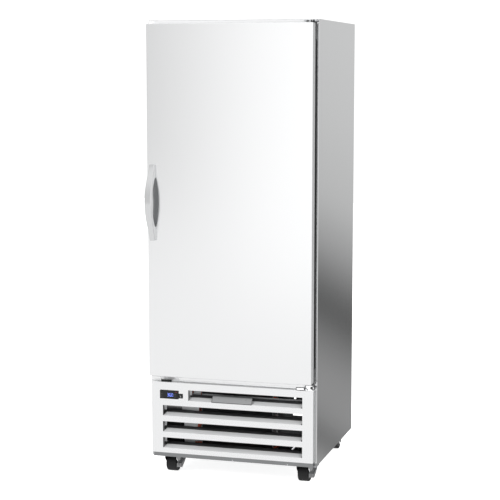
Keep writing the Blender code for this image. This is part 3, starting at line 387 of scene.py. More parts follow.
# Colour, roughness, metallic, grain scale, tint, bump depth and, on the dullest, specular level
MOTTLED = {
    "plate_edge": ((0.15, 0.152, 0.155), 0.40, 1.0, 90.0, 0.08, 0.05),
    "rail_zinc": ((0.275, 0.28, 0.285), 0.34, 1.0, 90.0, 0.05, 0.04),
    "satin_blade": ((0.66, 0.665, 0.67), 0.50, 0.25, 60.0, 0.02, 0.03),
    # Near black for sheet inside the slots: painted shade
    "dark_flange": ((0.060, 0.061, 0.062), 0.55, 0.0, 60.0, 0.05, 0.03, 0.3),
    "relay_grey": ((0.42, 0.425, 0.43), 0.50, 0.1, 60.0, 0.04, 0.03),
    # A darker grey copy of the steel for side edges and returns: painted shade
    "edge_steel": ((0.335, 0.338, 0.342), 0.55, 0.3, 60.0, 0.02, 0.02),
    "strip_steel": ((0.97, 0.975, 0.98), 0.42, 0.9, 60.0, 0.02, 0.02),
    "trim_steel": ((0.72, 0.725, 0.73), 0.45, 0.0, 60.0, 0.02, 0.02),
    # A pale copy of the fork's zinc: painted light on the right leg
    "leg_zinc": ((0.82, 0.825, 0.83), 0.45, 0.2, 60.0, 0.06, 0.04),
    "lip_grey": ((0.30, 0.305, 0.31), 0.50, 0.2, 60.0, 0.04, 0.03),
    # A near-black copy of the fork's zinc: painted shade on the crown and left leg
    "fork_zinc": ((0.022, 0.0225, 0.023), 0.50, 0.5, 90.0, 0.10, 0.06),
    "pedal_zinc": ((0.27, 0.272, 0.276), 0.42, 0.8, 90.0, 0.07, 0.06),
    "hinge_black": ((0.012, 0.012, 0.013), 0.45, 0.0, 90.0, 0.10, 0.06),
    # Dark grey for hinge parts in the gaps by the door: painted shade
    "hinge_grey": ((0.13, 0.132, 0.135), 0.45, 0.3, 90.0, 0.08, 0.05),
    "box_enamel": ((0.80, 0.81, 0.82), 0.45, 0.0, 60.0, 0.03, 0.03),
    # A pale plate: painted light on a shaded ledge, and a painted highlight
    "bright_plate": ((0.82, 0.825, 0.83), 0.45, 0.2, 60.0, 0.02, 0.02),
    "zinc": ((0.62, 0.63, 0.65), 0.34, 1.0, 90.0, 0.07, 0.06),
    "dark_zinc": ((0.10, 0.102, 0.105), 0.40, 1.0, 90.0, 0.10, 0.06),
    "chrome": ((0.80, 0.81, 0.82), 0.14, 1.0, 60.0, 0.03, 0.01),
    "copper": ((0.48, 0.12, 0.07), 0.36, 0.9, 120.0, 0.22, 0.05),
    "white_liner": ((0.84, 0.85, 0.845), 0.42, 0.0, 40.0, 0.02, 0.04),
    "white_enamel": ((0.86, 0.865, 0.87), 0.35, 0.0, 50.0, 0.02, 0.03),
    "gasket": ((0.020, 0.020, 0.021), 0.72, 0.0, 80.0, 0.12, 0.10, 0.25),
    "black_moulded": ((0.011, 0.0112, 0.0115), 0.55, 0.0, 90.0, 0.15, 0.10, 0.2),
    "black_enamel": ((0.018, 0.019, 0.020), 0.34, 0.0, 60.0, 0.20, 0.06),
    "black_fin": ((0.022, 0.023, 0.025), 0.50, 0.4, 70.0, 0.25, 0.05),
    # A darker copy of the handle's steel for its sides: painted shade
    "handle_flank": ((0.68, 0.685, 0.69), 0.40, 0.9, 60.0, 0.03, 0.03),
    # Dark grey for the back of the grip: painted shade behind the bow
    "handle_back": ((0.24, 0.245, 0.25), 0.45, 0.6, 60.0, 0.08, 0.05),
    "window": ((0.012, 0.013, 0.014), 0.35, 0.0, 60.0, 0.05, 0.01, 0.2),
    "aluminium": ((0.74, 0.75, 0.765), 0.38, 1.0, 80.0, 0.05, 0.06),
    "rubber": ((0.010, 0.010, 0.0105), 0.62, 0.0, 110.0, 0.16, 0.12, 0.25),
    "hub_grey": ((0.06, 0.061, 0.063), 0.50, 0.0, 90.0, 0.10, 0.08),
    "foam": ((0.82, 0.72, 0.48), 0.92, 0.0, 160.0, 0.08, 0.30),
    "print_white": ((0.62, 0.63, 0.64), 0.50, 0.0, 90.0, 0.05, 0.02),
    "print_grey": ((0.10, 0.10, 0.11), 0.50, 0.0, 90.0, 0.05, 0.02),
}

# Colour of the glow, its strength, base colour
GLOWING = {
    "lamp": ((1.0, 0.98, 0.94), 0.25, (0.90, 0.90, 0.88)),
    "digit_blue": ((0.16, 0.24, 0.95), 1.3, (0.10, 0.14, 0.5)),
    "mark_red": ((0.35, 0.01, 0.015), 0.18, (0.10, 0.006, 0.008)),
}

LOOKS = {"galvanised": spangled("galvanised", (0.60, 0.62, 0.63), 0.42)}
for make, rows in ((brushed, BRUSHED), (mottled, MOTTLED), (glowing, GLOWING)):
    for name, values in rows.items():
        LOOKS[name] = make(name, *values)


# Pieces


def piece(
    name, shape, look, slot, body="cabinet", replaces=None, bevel=0.0, segments=3, solidify=0.0, angle=35
):
    """Turn a bmesh into a named piece that rides on a body and takes its look as its material."""
    bmesh.ops.recalc_face_normals(shape, faces=shape.faces)
    mesh = bpy.data.meshes.new(name)
    shape.to_mesh(mesh)
    shape.free()
    mesh.materials.append(LOOKS[look])
    mesh.shade_smooth()
    item = bpy.data.objects.new(name, mesh)
    bpy.context.scene.collection.objects.link(item)
    if solidify:
        thicken = item.modifiers.new("sheet", "SOLIDIFY")
        thicken.thickness = solidify
        thicken.offset = -1.0
        thicken.use_even_offset = True
    if bevel:
        soften = item.modifiers.new("edges", "BEVEL")
        soften.width = bevel
        soften.segments = segments
        soften.limit_method = "ANGLE"
        soften.angle_limit = math.radians(angle)
        soften.harden_normals = True
    mesh.set_sharp_from_angle(angle=math.radians(angle))
    if solidify:
        # Large flat faces keep one normal right up to their rounded edges
        flatten = item.modifiers.new("flat_faces", "WEIGHTED_NORMAL")
        flatten.keep_sharp = True
        flatten.weight = 100
    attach(item, body)
    if replaces:
        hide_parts(replaces)


def box_piece(name, spans, look, slot, **options):
    """A piece of plain blocks or sheets, each given by its two corners."""
    shape = bmesh.new()
    for low, high in spans:
        add_box(shape, low, high)
    piece(name, shape, look, slot, **options)


def prism_piece(name, outline, axis, low, high, look, slot, **options):
    shape = bmesh.new()
    add_prism(shape, outline, axis, low, high)
    piece(name, shape, look, slot, **options)


def lathe_piece(name, profile, centre, axis, steps, look, slot, closed=False, **options):
    shape = bmesh.new()
    add_lathe(shape, profile, centre, axis, steps, closed)
    piece(name, shape, look, slot, **options)


def tube_piece(name, path, radius, sides, look, slot, **options):
    shape = bmesh.new()
    add_tube(shape, path, radius, sides)
    piece(name, shape, look, slot, angle=50, **options)


def dress(node, look):
    """Give a carried-over CAD node its material."""
    for slot in frame["nodes"][node].material_slots:
        slot.material = LOOKS[look]


def joint_place(name):
    joint = [joint for joint in frame["joints"] if joint["name"] == name][0]
    return Vector(joint["pos_m"])


def screws(name, places, axis, radius, look):
    """Pan-head screws with a cross recess, standing on the cabinet's surface."""
    heads, marks = bmesh.new(), bmesh.new()
    dome = [(0, radius * 0.62), (radius * 0.55, radius * 0.56), (radius * 0.85, radius * 0.38)]
    profile = [*dome, (radius, radius * 0.12), (radius, -radius * 0.1), (0, -radius * 0.1)]
    for place in places:
        add_lathe(heads, profile, place, axis, 20)
        for long_side, short_side in ((0.95, 0.16), (0.16, 0.95)):
            u, v = radius * long_side * 0.6, radius * short_side * 0.6
            before = set(marks.verts)
            add_box(marks, (-u, -v, radius * 0.3), (u, v, radius * 0.64))
            made = [vert for vert in marks.verts if vert not in before]
            bmesh.ops.transform(marks, matrix=Matrix.Translation(place) @ axis_frame(axis), verts=made)
    piece(name, heads, look, "zinc", angle=50)
    piece(name + "_recesses", marks, "black_enamel", "zinc")


def side_panels():
    for side, sign in SIDES:
        node = f"side_panel_{side}"
        low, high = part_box(node)
        shape = folded_tray(low, high, [(-sign, 0, 0), (0, 0, 1)], 0.0022)
        inner_x = low.x if sign > 0 else high.x
        back_flange = 0.012
        for vert in shape.verts:
            if abs(vert.co.x - inner_x) < 1e-5 and vert.co.y > high.y - 0.003:
                vert.co.x += sign * back_flange
        piece(f"{node}_sheet", shape, "side_steel", "brushed_side", replaces=node, solidify=SHEET)


def top_and_back():
    low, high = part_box("top_panel")
    shape = folded_tray(low, high, [(0, 0, -1), (1, 0, 0), (-1, 0, 0)], 0.002)
    piece("top_sheet", shape, "top_steel", "brushed_side", replaces="top_panel", solidify=SHEET)
    # A pale trim over the top's front fold, above the door
    trim = ((low.x + 0.001, low.y - 0.0006, low.z), (high.x - 0.001, low.y + 0.0004, high.z - 0.0022))
    box_piece("top_front_trim", [trim], "trim_steel", "brushed_side")
    dress("back_panel", "galvanised")
    low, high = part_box("back_panel")
    y = high.y - 0.0012
    margin, first = 0.012, 0.03
    places = []
    for row in range(8):
        height = low.z + first + (high.z - low.z - 2 * first) * row / 7
        places += [(low.x + margin, y, height), (high.x - margin, y, height)]
    for column in range(1, 5):
        across = low.x + (high.x - low.x) * column / 5
        places += [(across, y, low.z + margin), (across, y, high.z - margin)]
    screws("back_screws", places, (0, 1, 0), 0.0036, "zinc")


def door():
    low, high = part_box("door_skin")
    shape = folded_tray(low, high, [(0, 1, 0)], 0.0022)
    piece("door_sheet", shape, "door_steel", "stainless", "door", replaces="door_skin", solidify=0.001)
    # The hinge edge is duller than the face, and its darker grey is painted shade on the door's side edge
    edge = ((high.x, low.y + 0.003, low.z + 0.002), (high.x + 0.0003, high.y - 0.0005, high.z - 0.002))
    box_piece("door_hinge_edge", [edge], "edge_steel", "stainless", body="door", bevel=0.0001, segments=2)
    dress("door_foam", "foam")
    door_pan(high.y)
    gasket(low, high)
    handle()
    door_hinge_parts()


def door_pan(skin_back):
    """The moulded inner pan with its raised dam, dished in the middle."""
    low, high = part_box("door_liner")
    dam_half = 0.275
    dam = (-dam_half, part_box("face_frame")[0].z + 0.105, dam_half, high.z - 0.0635)
    steps = (
        ((low.x, low.z, high.x, high.z), 0.0, skin_back, 0.004), (dam, -0.004, skin_back, 0.02),
        (dam, 0.0, skin_back + 0.006, 0.02), (dam, 0.0, high.y - 0.006, 0.02),
        (dam, 0.006, high.y, 0.016), (dam, 0.05, high.y, 0.014), (dam, 0.056, high.y - 0.005, 0.014),
    )
    shape = bmesh.new()
    add_dish(shape, [(soft_rectangle(*span, radius, 6, inset), y) for span, inset, y, radius in steps])
    piece(
        "door_inner_pan", shape, "white_liner", "white_plastic", "door", replaces="door_liner",
        solidify=0.0015,
    )


def gasket(skin_low, skin_high):
    """A bellows section swept round a mitred rectangle, and the wing round the door's edge."""
    low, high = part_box("door_gasket")
    # Each point of the section: how far in from the gasket's edge, and its share of the depth
    section = (
        (0.000, 0.00), (0.000, 0.22), (0.003, 0.34), (0.001, 0.46), (0.003, 0.58), (0.000, 0.70),
        (0.000, 1.00), (0.015, 1.00), (0.016, 0.72), (0.022, 0.62), (0.020, 0.40), (0.026, 0.20),
        (0.026, 0.00),
    )
    shape = bmesh.new()
    loops = []
    for inset, share in section:
        y = low.y + (high.y - low.y) * share
        outline = rectangle(low.x + inset, low.z + inset, high.x - inset, high.z - inset)
        loops.append([shape.verts.new((u, y, v)) for u, v in outline])
    for one, two in zip(loops, [*loops[1:], loops[0]]):
        bridge(shape, one, two)
    piece(
        "door_gasket_bellows", shape, "gasket", "gasket", "door", replaces="door_gasket", bevel=0.0007,
        segments=2,
    )
    inset = 0.0012
    outer = rectangle(skin_low.x + inset, low.z - 0.002, skin_high.x - inset, skin_high.z - inset)
    inner = rectangle(low.x + 0.001, low.z + 0.001, high.x - 0.001, high.z - 0.001)
    shape = bmesh.new()
    add_ring_plate(shape, outer, inner, "Y", low.y + 0.0006, high.y - 0.0040)
    piece("door_gasket_wing", shape, "gasket", "gasket", "door", bevel=0.0012)


def handle():
    """A bow of one depth, wider and further out at its middle, with a grip gap behind it."""
    low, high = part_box("door_handle")
    foot = high.y
    end_reach, mid_reach, grip = 0.0157, foot - low.y + 0.005, 0.012
    outer_power, inner_power = 1.25, 0.7
    gap_low, gap_high = low.z + 0.0446, high.z - 0.0462
    end_width, mid_width = 0.0200, high.x - low.x - 0.003
    side_bow = 0.0038

    def swell(z):
        return math.sin(math.pi * (z - low.z) / (high.z - low.z))

    def width_at(z):
        return end_width + (mid_width - end_width) * swell(z)

    def centre_at(z):
        return (low.x + high.x) / 2 - side_bow * swell(z)

    def bow(start, stop, from_reach, to_reach, steps, power):
        points = []
        for step in range(steps + 1):
            share = step / steps
            reach = from_reach + (to_reach - from_reach) * max(0.0, math.sin(math.pi * share)) ** power
            points.append((foot - reach, start + (stop - start) * share))
        return points

    outer = bow(low.z, high.z, end_reach, mid_reach, 56, outer_power)
    inner = bow(gap_low, gap_high, 0.0, mid_reach - grip, 60, inner_power)
    shape = bmesh.new()
    add_prism(shape, [(foot, low.z), *outer, (foot, high.z), *reversed(inner)], "X", -0.5, 0.5)
    for vert in shape.verts:
        vert.co.x = centre_at(vert.co.z) + vert.co.x * width_at(vert.co.z)
    piece(
        "handle_bow", shape, "handle_steel", "satin_handle", "door", replaces="door_handle", bevel=0.0022,
        segments=4,
    )

    # The back of the grip is dark grey: painted shade in the gap behind the bow
    shape = bmesh.new()
    rows = []
    for y, z in inner[3:-3]:
        half = width_at(z) / 2 - 0.0028
        rows.append([shape.verts.new((centre_at(z) + sign * half, y + 0.0006, z)) for _, sign in SIDES])
    for one, two in zip(rows, rows[1:]):
        bridge(shape, one, two, closed=False)
    piece("handle_grip_back", shape, "handle_back", "satin_handle", "door", solidify=0.0009)

    # Its flanks are duller than its front, and their darker colour is painted shade on the handle's sides
    margin, steps = 0.0024, 60
    shape = bmesh.new()
    for _, sign in SIDES:
        rows = []
        for step in range(steps + 1):
            z = low.z + margin + (high.z - low.z - 2 * margin) * step / steps
            front = foot - (end_reach + (mid_reach - end_reach) * swell(z) ** outer_power) + margin
            back = foot - 0.0004
            inner_share = (z - gap_low) / (gap_high - gap_low)
            if 0 < inner_share < 1:
                back -= (mid_reach - grip) * math.sin(math.pi * inner_share) ** inner_power - 0.0010
            x = centre_at(z) + sign * (width_at(z) / 2 + 0.0002)
            rows.append([shape.verts.new((x, y, z)) for y in (front, min(back, foot - 0.0004))])
        for one, two in zip(rows, rows[1:]):
            bridge(shape, one, two, closed=False)
    piece("handle_flanks", shape, "handle_flank", "satin_handle", "door", solidify=0.0002)


def door_hinge_parts():
    """The plastic bushing in the door's top and the self-closing cartridge at its bottom."""
    pivot = joint_place("door_swing")
    centre = (pivot.x, pivot.y, 0)
    bore = 0.0055
    low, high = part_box("hinge_bushing_top")
    radius = (high.x - low.x) / 2
    profile = [
        (bore, high.z), (bore + 0.001, high.z + 0.0006), (radius + 0.003, high.z + 0.0006),
        (radius + 0.003, high.z), (radius, high.z), (radius, low.z), (bore, low.z),
    ]
    options = {"body": "door", "closed": True}
    lathe_piece(
        "hinge_bushing", profile, centre, "Z", 40, "black_moulded", "black_plastic",
        replaces="hinge_bushing_top", **options
    )
    low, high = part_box("hinge_cartridge_bottom")
    door_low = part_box("door_skin")[0].z
    radius = (high.x - low.x) / 2
    profile = [
        (bore, low.z), (radius - 0.001, low.z), (radius, low.z + 0.001), (radius, low.z + 0.005),
        (radius - 0.0012, low.z + 0.006), (radius - 0.0012, door_low - 0.003),
        (radius + 0.002, door_low - 0.002), (radius + 0.002, door_low), (radius, door_low),
        (radius, high.z), (bore, high.z),
    ]
    lathe_piece(
        "hinge_cartridge", profile, centre, "Z", 40, "black_moulded", "black_plastic",
        replaces="hinge_cartridge_bottom", **options
    )


def hinge_bracket(node, plate_low, plate_high, inner_end, pin_from, pin_to):
    """An angle bracket: a rounded plate over the pin, and a leg on the cabinet's front."""
    low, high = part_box(node)
    pivot = joint_place("door_swing")
    wall = high.y
    outline = [
        (inner_end, wall), (inner_end, low.y + 0.006), (inner_end + 0.006, low.y),
        (high.x - 0.010, low.y), (high.x, low.y + 0.010), (high.x, wall),
    ]
    prism_piece(
        f"{node}_plate", outline, "Z", plate_low, plate_high, "zinc", "zinc", replaces=node, bevel=0.0008
    )
    leg_left, leg_right, leg_front = 0.319, 0.3375, wall - 0.0027
    leg = ((leg_left, leg_front, low.z), (leg_right, wall, high.z))
    # The leg and its screws are dark grey: painted shade in the gap behind the door's edge
    box_piece(f"{node}_leg", [leg], "hinge_grey", "zinc", bevel=0.0008)
    head = 0.0007 if pin_to > pin_from else -0.0007
    profile = [
        (0, pin_from - head), (0.0050, pin_from), (0.0050, pin_to - head * 2), (0.004, pin_to),
        (0, pin_to),
    ]
    lathe_piece(f"{node}_pin", profile, (pivot.x, pivot.y, 0), "Z", 32, "chrome", "zinc")
    clear = [z for z in (low.z + 0.014, high.z - 0.014) if not plate_low - 0.006 < z < plate_high + 0.006]
    clear.append((low.z + high.z) / 2)
    places = [((leg_left + leg_right) / 2, leg_front, z) for z in clear]
    screws(f"{node}_screws", places, (0, -1, 0), 0.0042, "hinge_grey")


def hinges():
    low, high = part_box("hinge_bracket_top")
    door_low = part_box("door_skin")[0].z
    hinge_bracket("hinge_bracket_top", high.z - 0.005, high.z, 0.298, high.z - 0.001, low.z + 0.045)
    low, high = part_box("hinge_bracket_bottom")
    hinge_bracket(
        "hinge_bracket_bottom", low.z, low.z + 0.006, low.x + 0.026, low.z + 0.001, door_low + 0.030
    )
    lower_hinge_trim(low, high, door_low)
    upper_hinge_trim()


def lower_hinge_trim(low, high, door_low):
    """A bright slotted link and a bushing ring that stand in the gap under the door."""
    front = low.y - 0.0005
    level = low.z - 0.0010
    shape = bmesh.new()
    link = soft_rectangle(0.2732, level, 0.3092, level + 0.0128, 0.0040, 5)
    slot = soft_rectangle(0.2762, level + 0.0026, 0.3064, level + 0.0102, 0.0020, 5)
    add_ring_plate(shape, link, slot, "Y", front - 0.0018, front)
    piece("hinge_link_rim", shape, "hinge_black", "zinc", bevel=0.0003, segments=2)
    fill = soft_rectangle(0.2750, level + 0.0018, 0.3076, level + 0.0112, 0.0026, 5)
    prism_piece(
        "hinge_link_plate", fill, "Y", front - 0.0010, front + 0.0030, "trim_steel", "zinc",
        bevel=0.0003, segments=2,
    )
    wire_y = front - 0.0005
    run = [(x, wire_y, level + rise) for x, rise in ((0.3062, 0.0118), (0.3160, 0.0100), (0.3215, 0.0035))]
    # The wire is dark grey: painted shade in the gap under the door
    tube_piece("hinge_link_wire", rounded(run, 0.004, 4), 0.0013, 8, "hinge_grey", "zinc")
    middle_x, middle_z = 0.3440, low.z + 0.0112
    wide, tall = 0.0055, 0.0090
    outer = ellipse(middle_x, middle_z, wide, tall, 28)
    inner = ellipse(middle_x, middle_z, 0.55 * wide, 0.70 * tall, 28)
    shape = bmesh.new()
    add_ring_plate(shape, outer, inner, "Y", front - 0.0022, front)
    profile = [(0, -0.0030), (0.0042, -0.0026), (0.0052, -0.0010), (0.0052, 0.0), (0, 0.0)]
    add_lathe(shape, profile, (0.3370, front, middle_z), "Y", 24)
    knob = [(0, -0.0040), (0.0024, -0.0038), (0.0030, -0.0028), (0.0030, 0.0), (0, 0.0)]
    add_lathe(shape, knob, (0.3405, high.y - 0.0030, door_low - 0.0005), "Y", 24)
    piece("hinge_ring", shape, "hinge_black", "zinc", bevel=0.0002, segments=2)
    spans = [
        ((0.3140, front, low.z - 0.001), (0.3455, front + 0.0020, door_low - 0.0015)),
        ((0.3362, high.y - 0.0045, low.z + 0.011), (0.3458, high.y - 0.0030, door_low + 0.0040)),
    ]
    box_piece("hinge_lower_cover", spans, "satin_blade", "zinc", bevel=0.0006)


def upper_hinge_trim():
    """Dark screws and cover on the upper bracket's edge, above the door's corner."""
    low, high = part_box("hinge_bracket_top")
    front, level = low.y, high.z - 0.0025
    shape = bmesh.new()
    for x, radius in ((low.x + 0.014, 0.0028), (low.x + 0.020, 0.0024), (low.x + 0.031, 0.0030)):
        profile = [(0, -0.0016), (radius * 0.7, -0.0014), (radius, -0.0004), (radius, 0.0), (0, 0.0)]
        add_lathe(shape, profile, (x, front, level), "Y", 20)
    profile = [(0, -0.0030), (0.0032, -0.0026), (0.0040, -0.0010), (0.0040, 0.0), (0, 0.0)]
    add_lathe(shape, profile, (high.x - 0.0060, front + 0.0002, level), "Y", 24)
    head = [(0, -0.0050), (0.0042, -0.0046), (0.0050, -0.0030), (0.0050, 0.0), (0, 0.0)]
    add_lathe(shape, head, (high.x - 0.0045, high.y - 0.0002, level), "Y", 24)
    piece("hinge_upper_trim", shape, "hinge_black", "zinc", angle=50)


def grille():
    low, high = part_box("grille_panel")
    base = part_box("side_panel_left")[0].z
    pitch, slot_height, slot_low = 0.0666, 0.0433, base + 0.0386
    left, right, top_left = -0.2885, 0.2928, -0.180
    slots = []
    for row in range(4):
        start = slot_low + row * pitch
        slots.append((top_left if row == 3 else left, start, right, start + slot_height))
    shape = bmesh.new()
    add_pierced_sheet(shape, (low.x, low.z, high.x, high.z), slots, "Y", low.y)
    sides = (("x", low.x), ("x", high.x), ("z", low.z), ("z", high.z))
    rim = [edge for edge in shape.edges if len(edge.link_faces) == 1 and lies_on(edge, sides)]
    turn_in(shape, rim, "y", high.y)
    for slot_left, start, slot_right, end in slots:
        lips = [
            edge
            for edge in shape.edges
            if len(edge.link_faces) == 1
            and lies_on(edge, [("y", low.y)])
            and all(slot_left - CLOSE < vert.co.x < slot_right + CLOSE for vert in edge.verts)
            and all(start - CLOSE < vert.co.z < end + CLOSE for vert in edge.verts)
        ]
        turn_in(shape, lips, "y", low.y + 0.002)
    bmesh.ops.remove_doubles(shape, verts=shape.verts, dist=CLOSE)

    def on_rim(edge):
        upright = all(
            min(abs(vert.co.x - low.x), abs(vert.co.x - high.x)) < CLOSE
            and min(abs(vert.co.z - low.z), abs(vert.co.z - high.z)) < CLOSE
            for vert in edge.verts
        )
        on_front = lies_on(edge, [("y", low.y)]) and lies_on(edge, sides)
        return len(edge.link_faces) == 2 and (on_front or upright)

    bevel_edges(shape, on_rim, 0.0025)
    piece("grille_face", shape, "grille_steel", "stainless", replaces="grille_panel", solidify=0.001)
    louvres(slots, low.y)
    # The top return is pale: painted light against the door's shadow on this ledge
    top_low = (low.x + 0.002, low.y + 0.0025, high.z - 0.0004)
    top_high = (high.x - 0.002, high.y - 0.001, high.z + 0.0003)
    box_piece(
        "grille_top_return", [(top_low, top_high)], "bright_plate", "stainless", bevel=0.0001, segments=2
    )
    rail_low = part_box("base_pan")[0]
    places = [(x, rail_low.y, base + 0.002) for x in (0.0, 0.228)]
    screws("rail_screws", places, (0, -1, 0), 0.0030, "chrome")


def louvres(slots, front):
    """Each slot's inward blade, the flange behind it, and the turned-in edge at its left; the flange and
    the edge are near black, painted shade inside the slot.
    """
    depth, rise, sheet = 0.027, 0.010, 0.0012
    notch_wide, notch_deep = 0.006, 0.010
    flange_end, flange_rise = 0.060, 0.014
    return_depth = 0.016
    liner_depth = 0.045
    blades, flanges, returns, liners = (bmesh.new() for _ in range(4))
    for left, start, right, end in slots:
        outline = [
            (left, 0.0004), (right - notch_wide, 0.0004), (right - notch_wide, notch_deep),
            (right, notch_deep), (right, depth), (left + 0.008, depth),
        ]
        before = set(blades.verts)
        add_prism(blades, outline, "Z", -sheet, 0.0)
        for vert in blades.verts:
            if vert not in before:
                vert.co.z += start + vert.co.y * rise / depth
                vert.co.y += front
        profile = [
            (front + depth, start + rise), (front + flange_end, start + flange_rise),
            (front + flange_end, start + flange_rise - sheet), (front + depth, start + rise - sheet),
        ]
        add_prism(flanges, profile, "X", left - 0.004, right + 0.004)
        near = (left - 0.0012, front + 0.0012, start - 0.004)
        add_box(returns, near, (left - 0.0002, front + return_depth, end + 0.004))
        near = (left - 0.010, front + liner_depth, start + flange_rise)
        add_box(liners, near, (left + 0.0005, front + liner_depth + sheet, end + 0.006))
    piece("grille_blades", blades, "satin_blade", "stainless", bevel=0.0003, segments=2)
    # The flanges and the turned-in edges are near black: painted shade inside the slots
    piece("grille_flanges", flanges, "dark_flange", "stainless")
    # The top slot's upturned lip, a grey band behind its blade
    left, start, right, end = slots[-1]
    lip_y, lip_z = front + flange_end, start + flange_rise
    lip = ((left + 0.040, lip_y, lip_z - 0.0020), (right + 0.004, lip_y + sheet, lip_z + 0.0060))
    box_piece("grille_top_lip", [lip], "lip_grey", "stainless", bevel=0.0003, segments=2)
    piece("grille_returns", returns, "dark_flange", "stainless")
    piece("grille_edge_liners", liners, "box_enamel", "stainless")


def nameplate():
    """A blank plate with a dark lip along its lower edge, leaning back over the louvre."""
    low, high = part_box("nameplate_blank")
    bottom = Vector((0, low.y + 0.0002, low.z + 0.0002))
    top = Vector((0, low.y + 0.0180, low.z + 0.0250))
    up = (top - bottom).normalized()
    out = Vector((0, -up.z, up.y))
    length = (top - bottom).length

    def lean(shape):
        for vert in shape.verts:
            u, v, w = vert.co
            vert.co = Vector((u, 0, 0)) + bottom + up * v + out * (w - 0.0005)
        return shape

    whole = soft_rectangle(low.x, 0, high.x, length, 0.0015, 4)
    body = bmesh.new()
    add_prism(body, whole, "Z", -0.0010, 0.0003)
    piece(
        "nameplate_body", lean(body), "plate_steel", "stainless",
        replaces="nameplate_blank", bevel=0.0003, segments=2,
    )
    inner = soft_rectangle(low.x + 0.0016, 0.0028, high.x - 0.0016, length - 0.0012, 0.0010, 4)
    rim = bmesh.new()
    add_ring_plate(rim, whole, inner, "Z", 0.0003, 0.0007)
    piece("nameplate_lip", lean(rim), "plate_edge", "stainless")
    feet = []
    for x in (-0.055, 0.058):
        near = (x - 0.003, low.y + 0.010, low.z + 0.0048)
        feet.append((near, (x + 0.003, low.y + 0.0195, low.z + 0.0175)))
    box_piece("nameplate_feet", feet, "plate_steel", "stainless", bevel=0.0004)


SEGMENTS = {"0": "abcdef", "3": "abgcd", "6": "afgedc"}


def add_digit(shape, digit, left, low, width, height, y, thick):
    """One seven-segment digit; each stroke is a long hexagon."""
    bar = width * 0.20
    mid = low + height / 2
    right, high = left + width, low + height
    ends = {
        "a": ((left, high), (right, high)),
        "g": ((left, mid), (right, mid)),
        "d": ((left, low), (right, low)),
        "f": ((left, mid), (left, high)),
        "b": ((right, mid), (right, high)),
        "e": ((left, low), (left, mid)),
        "c": ((right, low), (right, mid)),
    }
    for key in SEGMENTS[digit]:
        start, end = Vector(ends[key][0]), Vector(ends[key][1])
        run = (end - start).normalized()
        across = Vector((-run.y, run.x)) * bar / 2
        start, end = start + run * bar * 0.35, end - run * bar * 0.35
        outline = [
            start,
            start + run * bar / 2 + across,
            end - run * bar / 2 + across,
            end,
            end - run * bar / 2 - across,
            start + run * bar / 2 - across,
        ]
        add_prism(shape, [tuple(point) for point in outline], "Y", y - thick, y)


def controller():
    low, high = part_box("controller_housing")
    front = low.y
    grille_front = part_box("grille_panel")[0].y
    shape = bmesh.new()
    outer = soft_rectangle(low.x, low.z, high.x, high.z, 0.0018, 4)
    inner = soft_rectangle(low.x, low.z, high.x, high.z, 0.001, 4, 0.0034)
    add_ring_plate(shape, outer, inner, "Y", front, grille_front - 0.0003)
    piece("controller_bezel", shape, "black_moulded", "black_plastic", bevel=0.0006)
    body = ((low.x + 0.004, front + 0.0012, low.z + 0.004), (high.x - 0.004, high.y, high.z - 0.004))
    box_piece(
        "controller_body", [body], "black_moulded", "black_plastic", replaces="controller_housing",
        bevel=0.0005,
    )
    pane_low, pane_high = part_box("controller_display")
    outline = soft_rectangle(pane_low.x, pane_low.z, pane_high.x, pane_high.z, 0.001, 4)
    prism_piece(
        "controller_window", outline, "Y", pane_low.y + 0.0004, pane_high.y, "window", "display",
        replaces="controller_display", bevel=0.0002,
    )
    face = pane_low.y + 0.0004
    shape = bmesh.new()
    width, height, step = 0.0062, 0.0118, 0.0089
    start = (pane_low.x + pane_high.x) / 2 - 0.0078
    digit_low = pane_low.z + 0.0070
    for index, digit in enumerate("360"):
        add_digit(shape, digit, start + index * step, digit_low, width, height, face, 0.0002)
    dot = start + 2 * step - 0.0011
    near = (dot - 0.0007, face - 0.0002, digit_low - 0.0006)
    add_box(shape, near, (dot + 0.0007, face, digit_low + 0.0008))
    piece("display_digits", shape, "digit_blue", "display")
    near = (pane_high.x - 0.0105, face - 0.0002, pane_high.z - 0.0034)
    mark = (near, (pane_high.x - 0.0010, face, pane_high.z - 0.0012))
    box_piece("display_alarm_mark", [mark], "mark_red", "display")
    shape = bmesh.new()
    for x in (pane_low.x + 0.0045, pane_high.x - 0.0100):
        for z in (pane_low.z + 0.0060, pane_low.z + 0.0155):
            outer, inner = (ellipse(x, z, radius, radius, 16) for radius in (0.0017, 0.0010))
            add_ring_plate(shape, outer, inner, "Y", face - 0.0002, face)
    piece("display_key_marks", shape, "print_grey", "display")


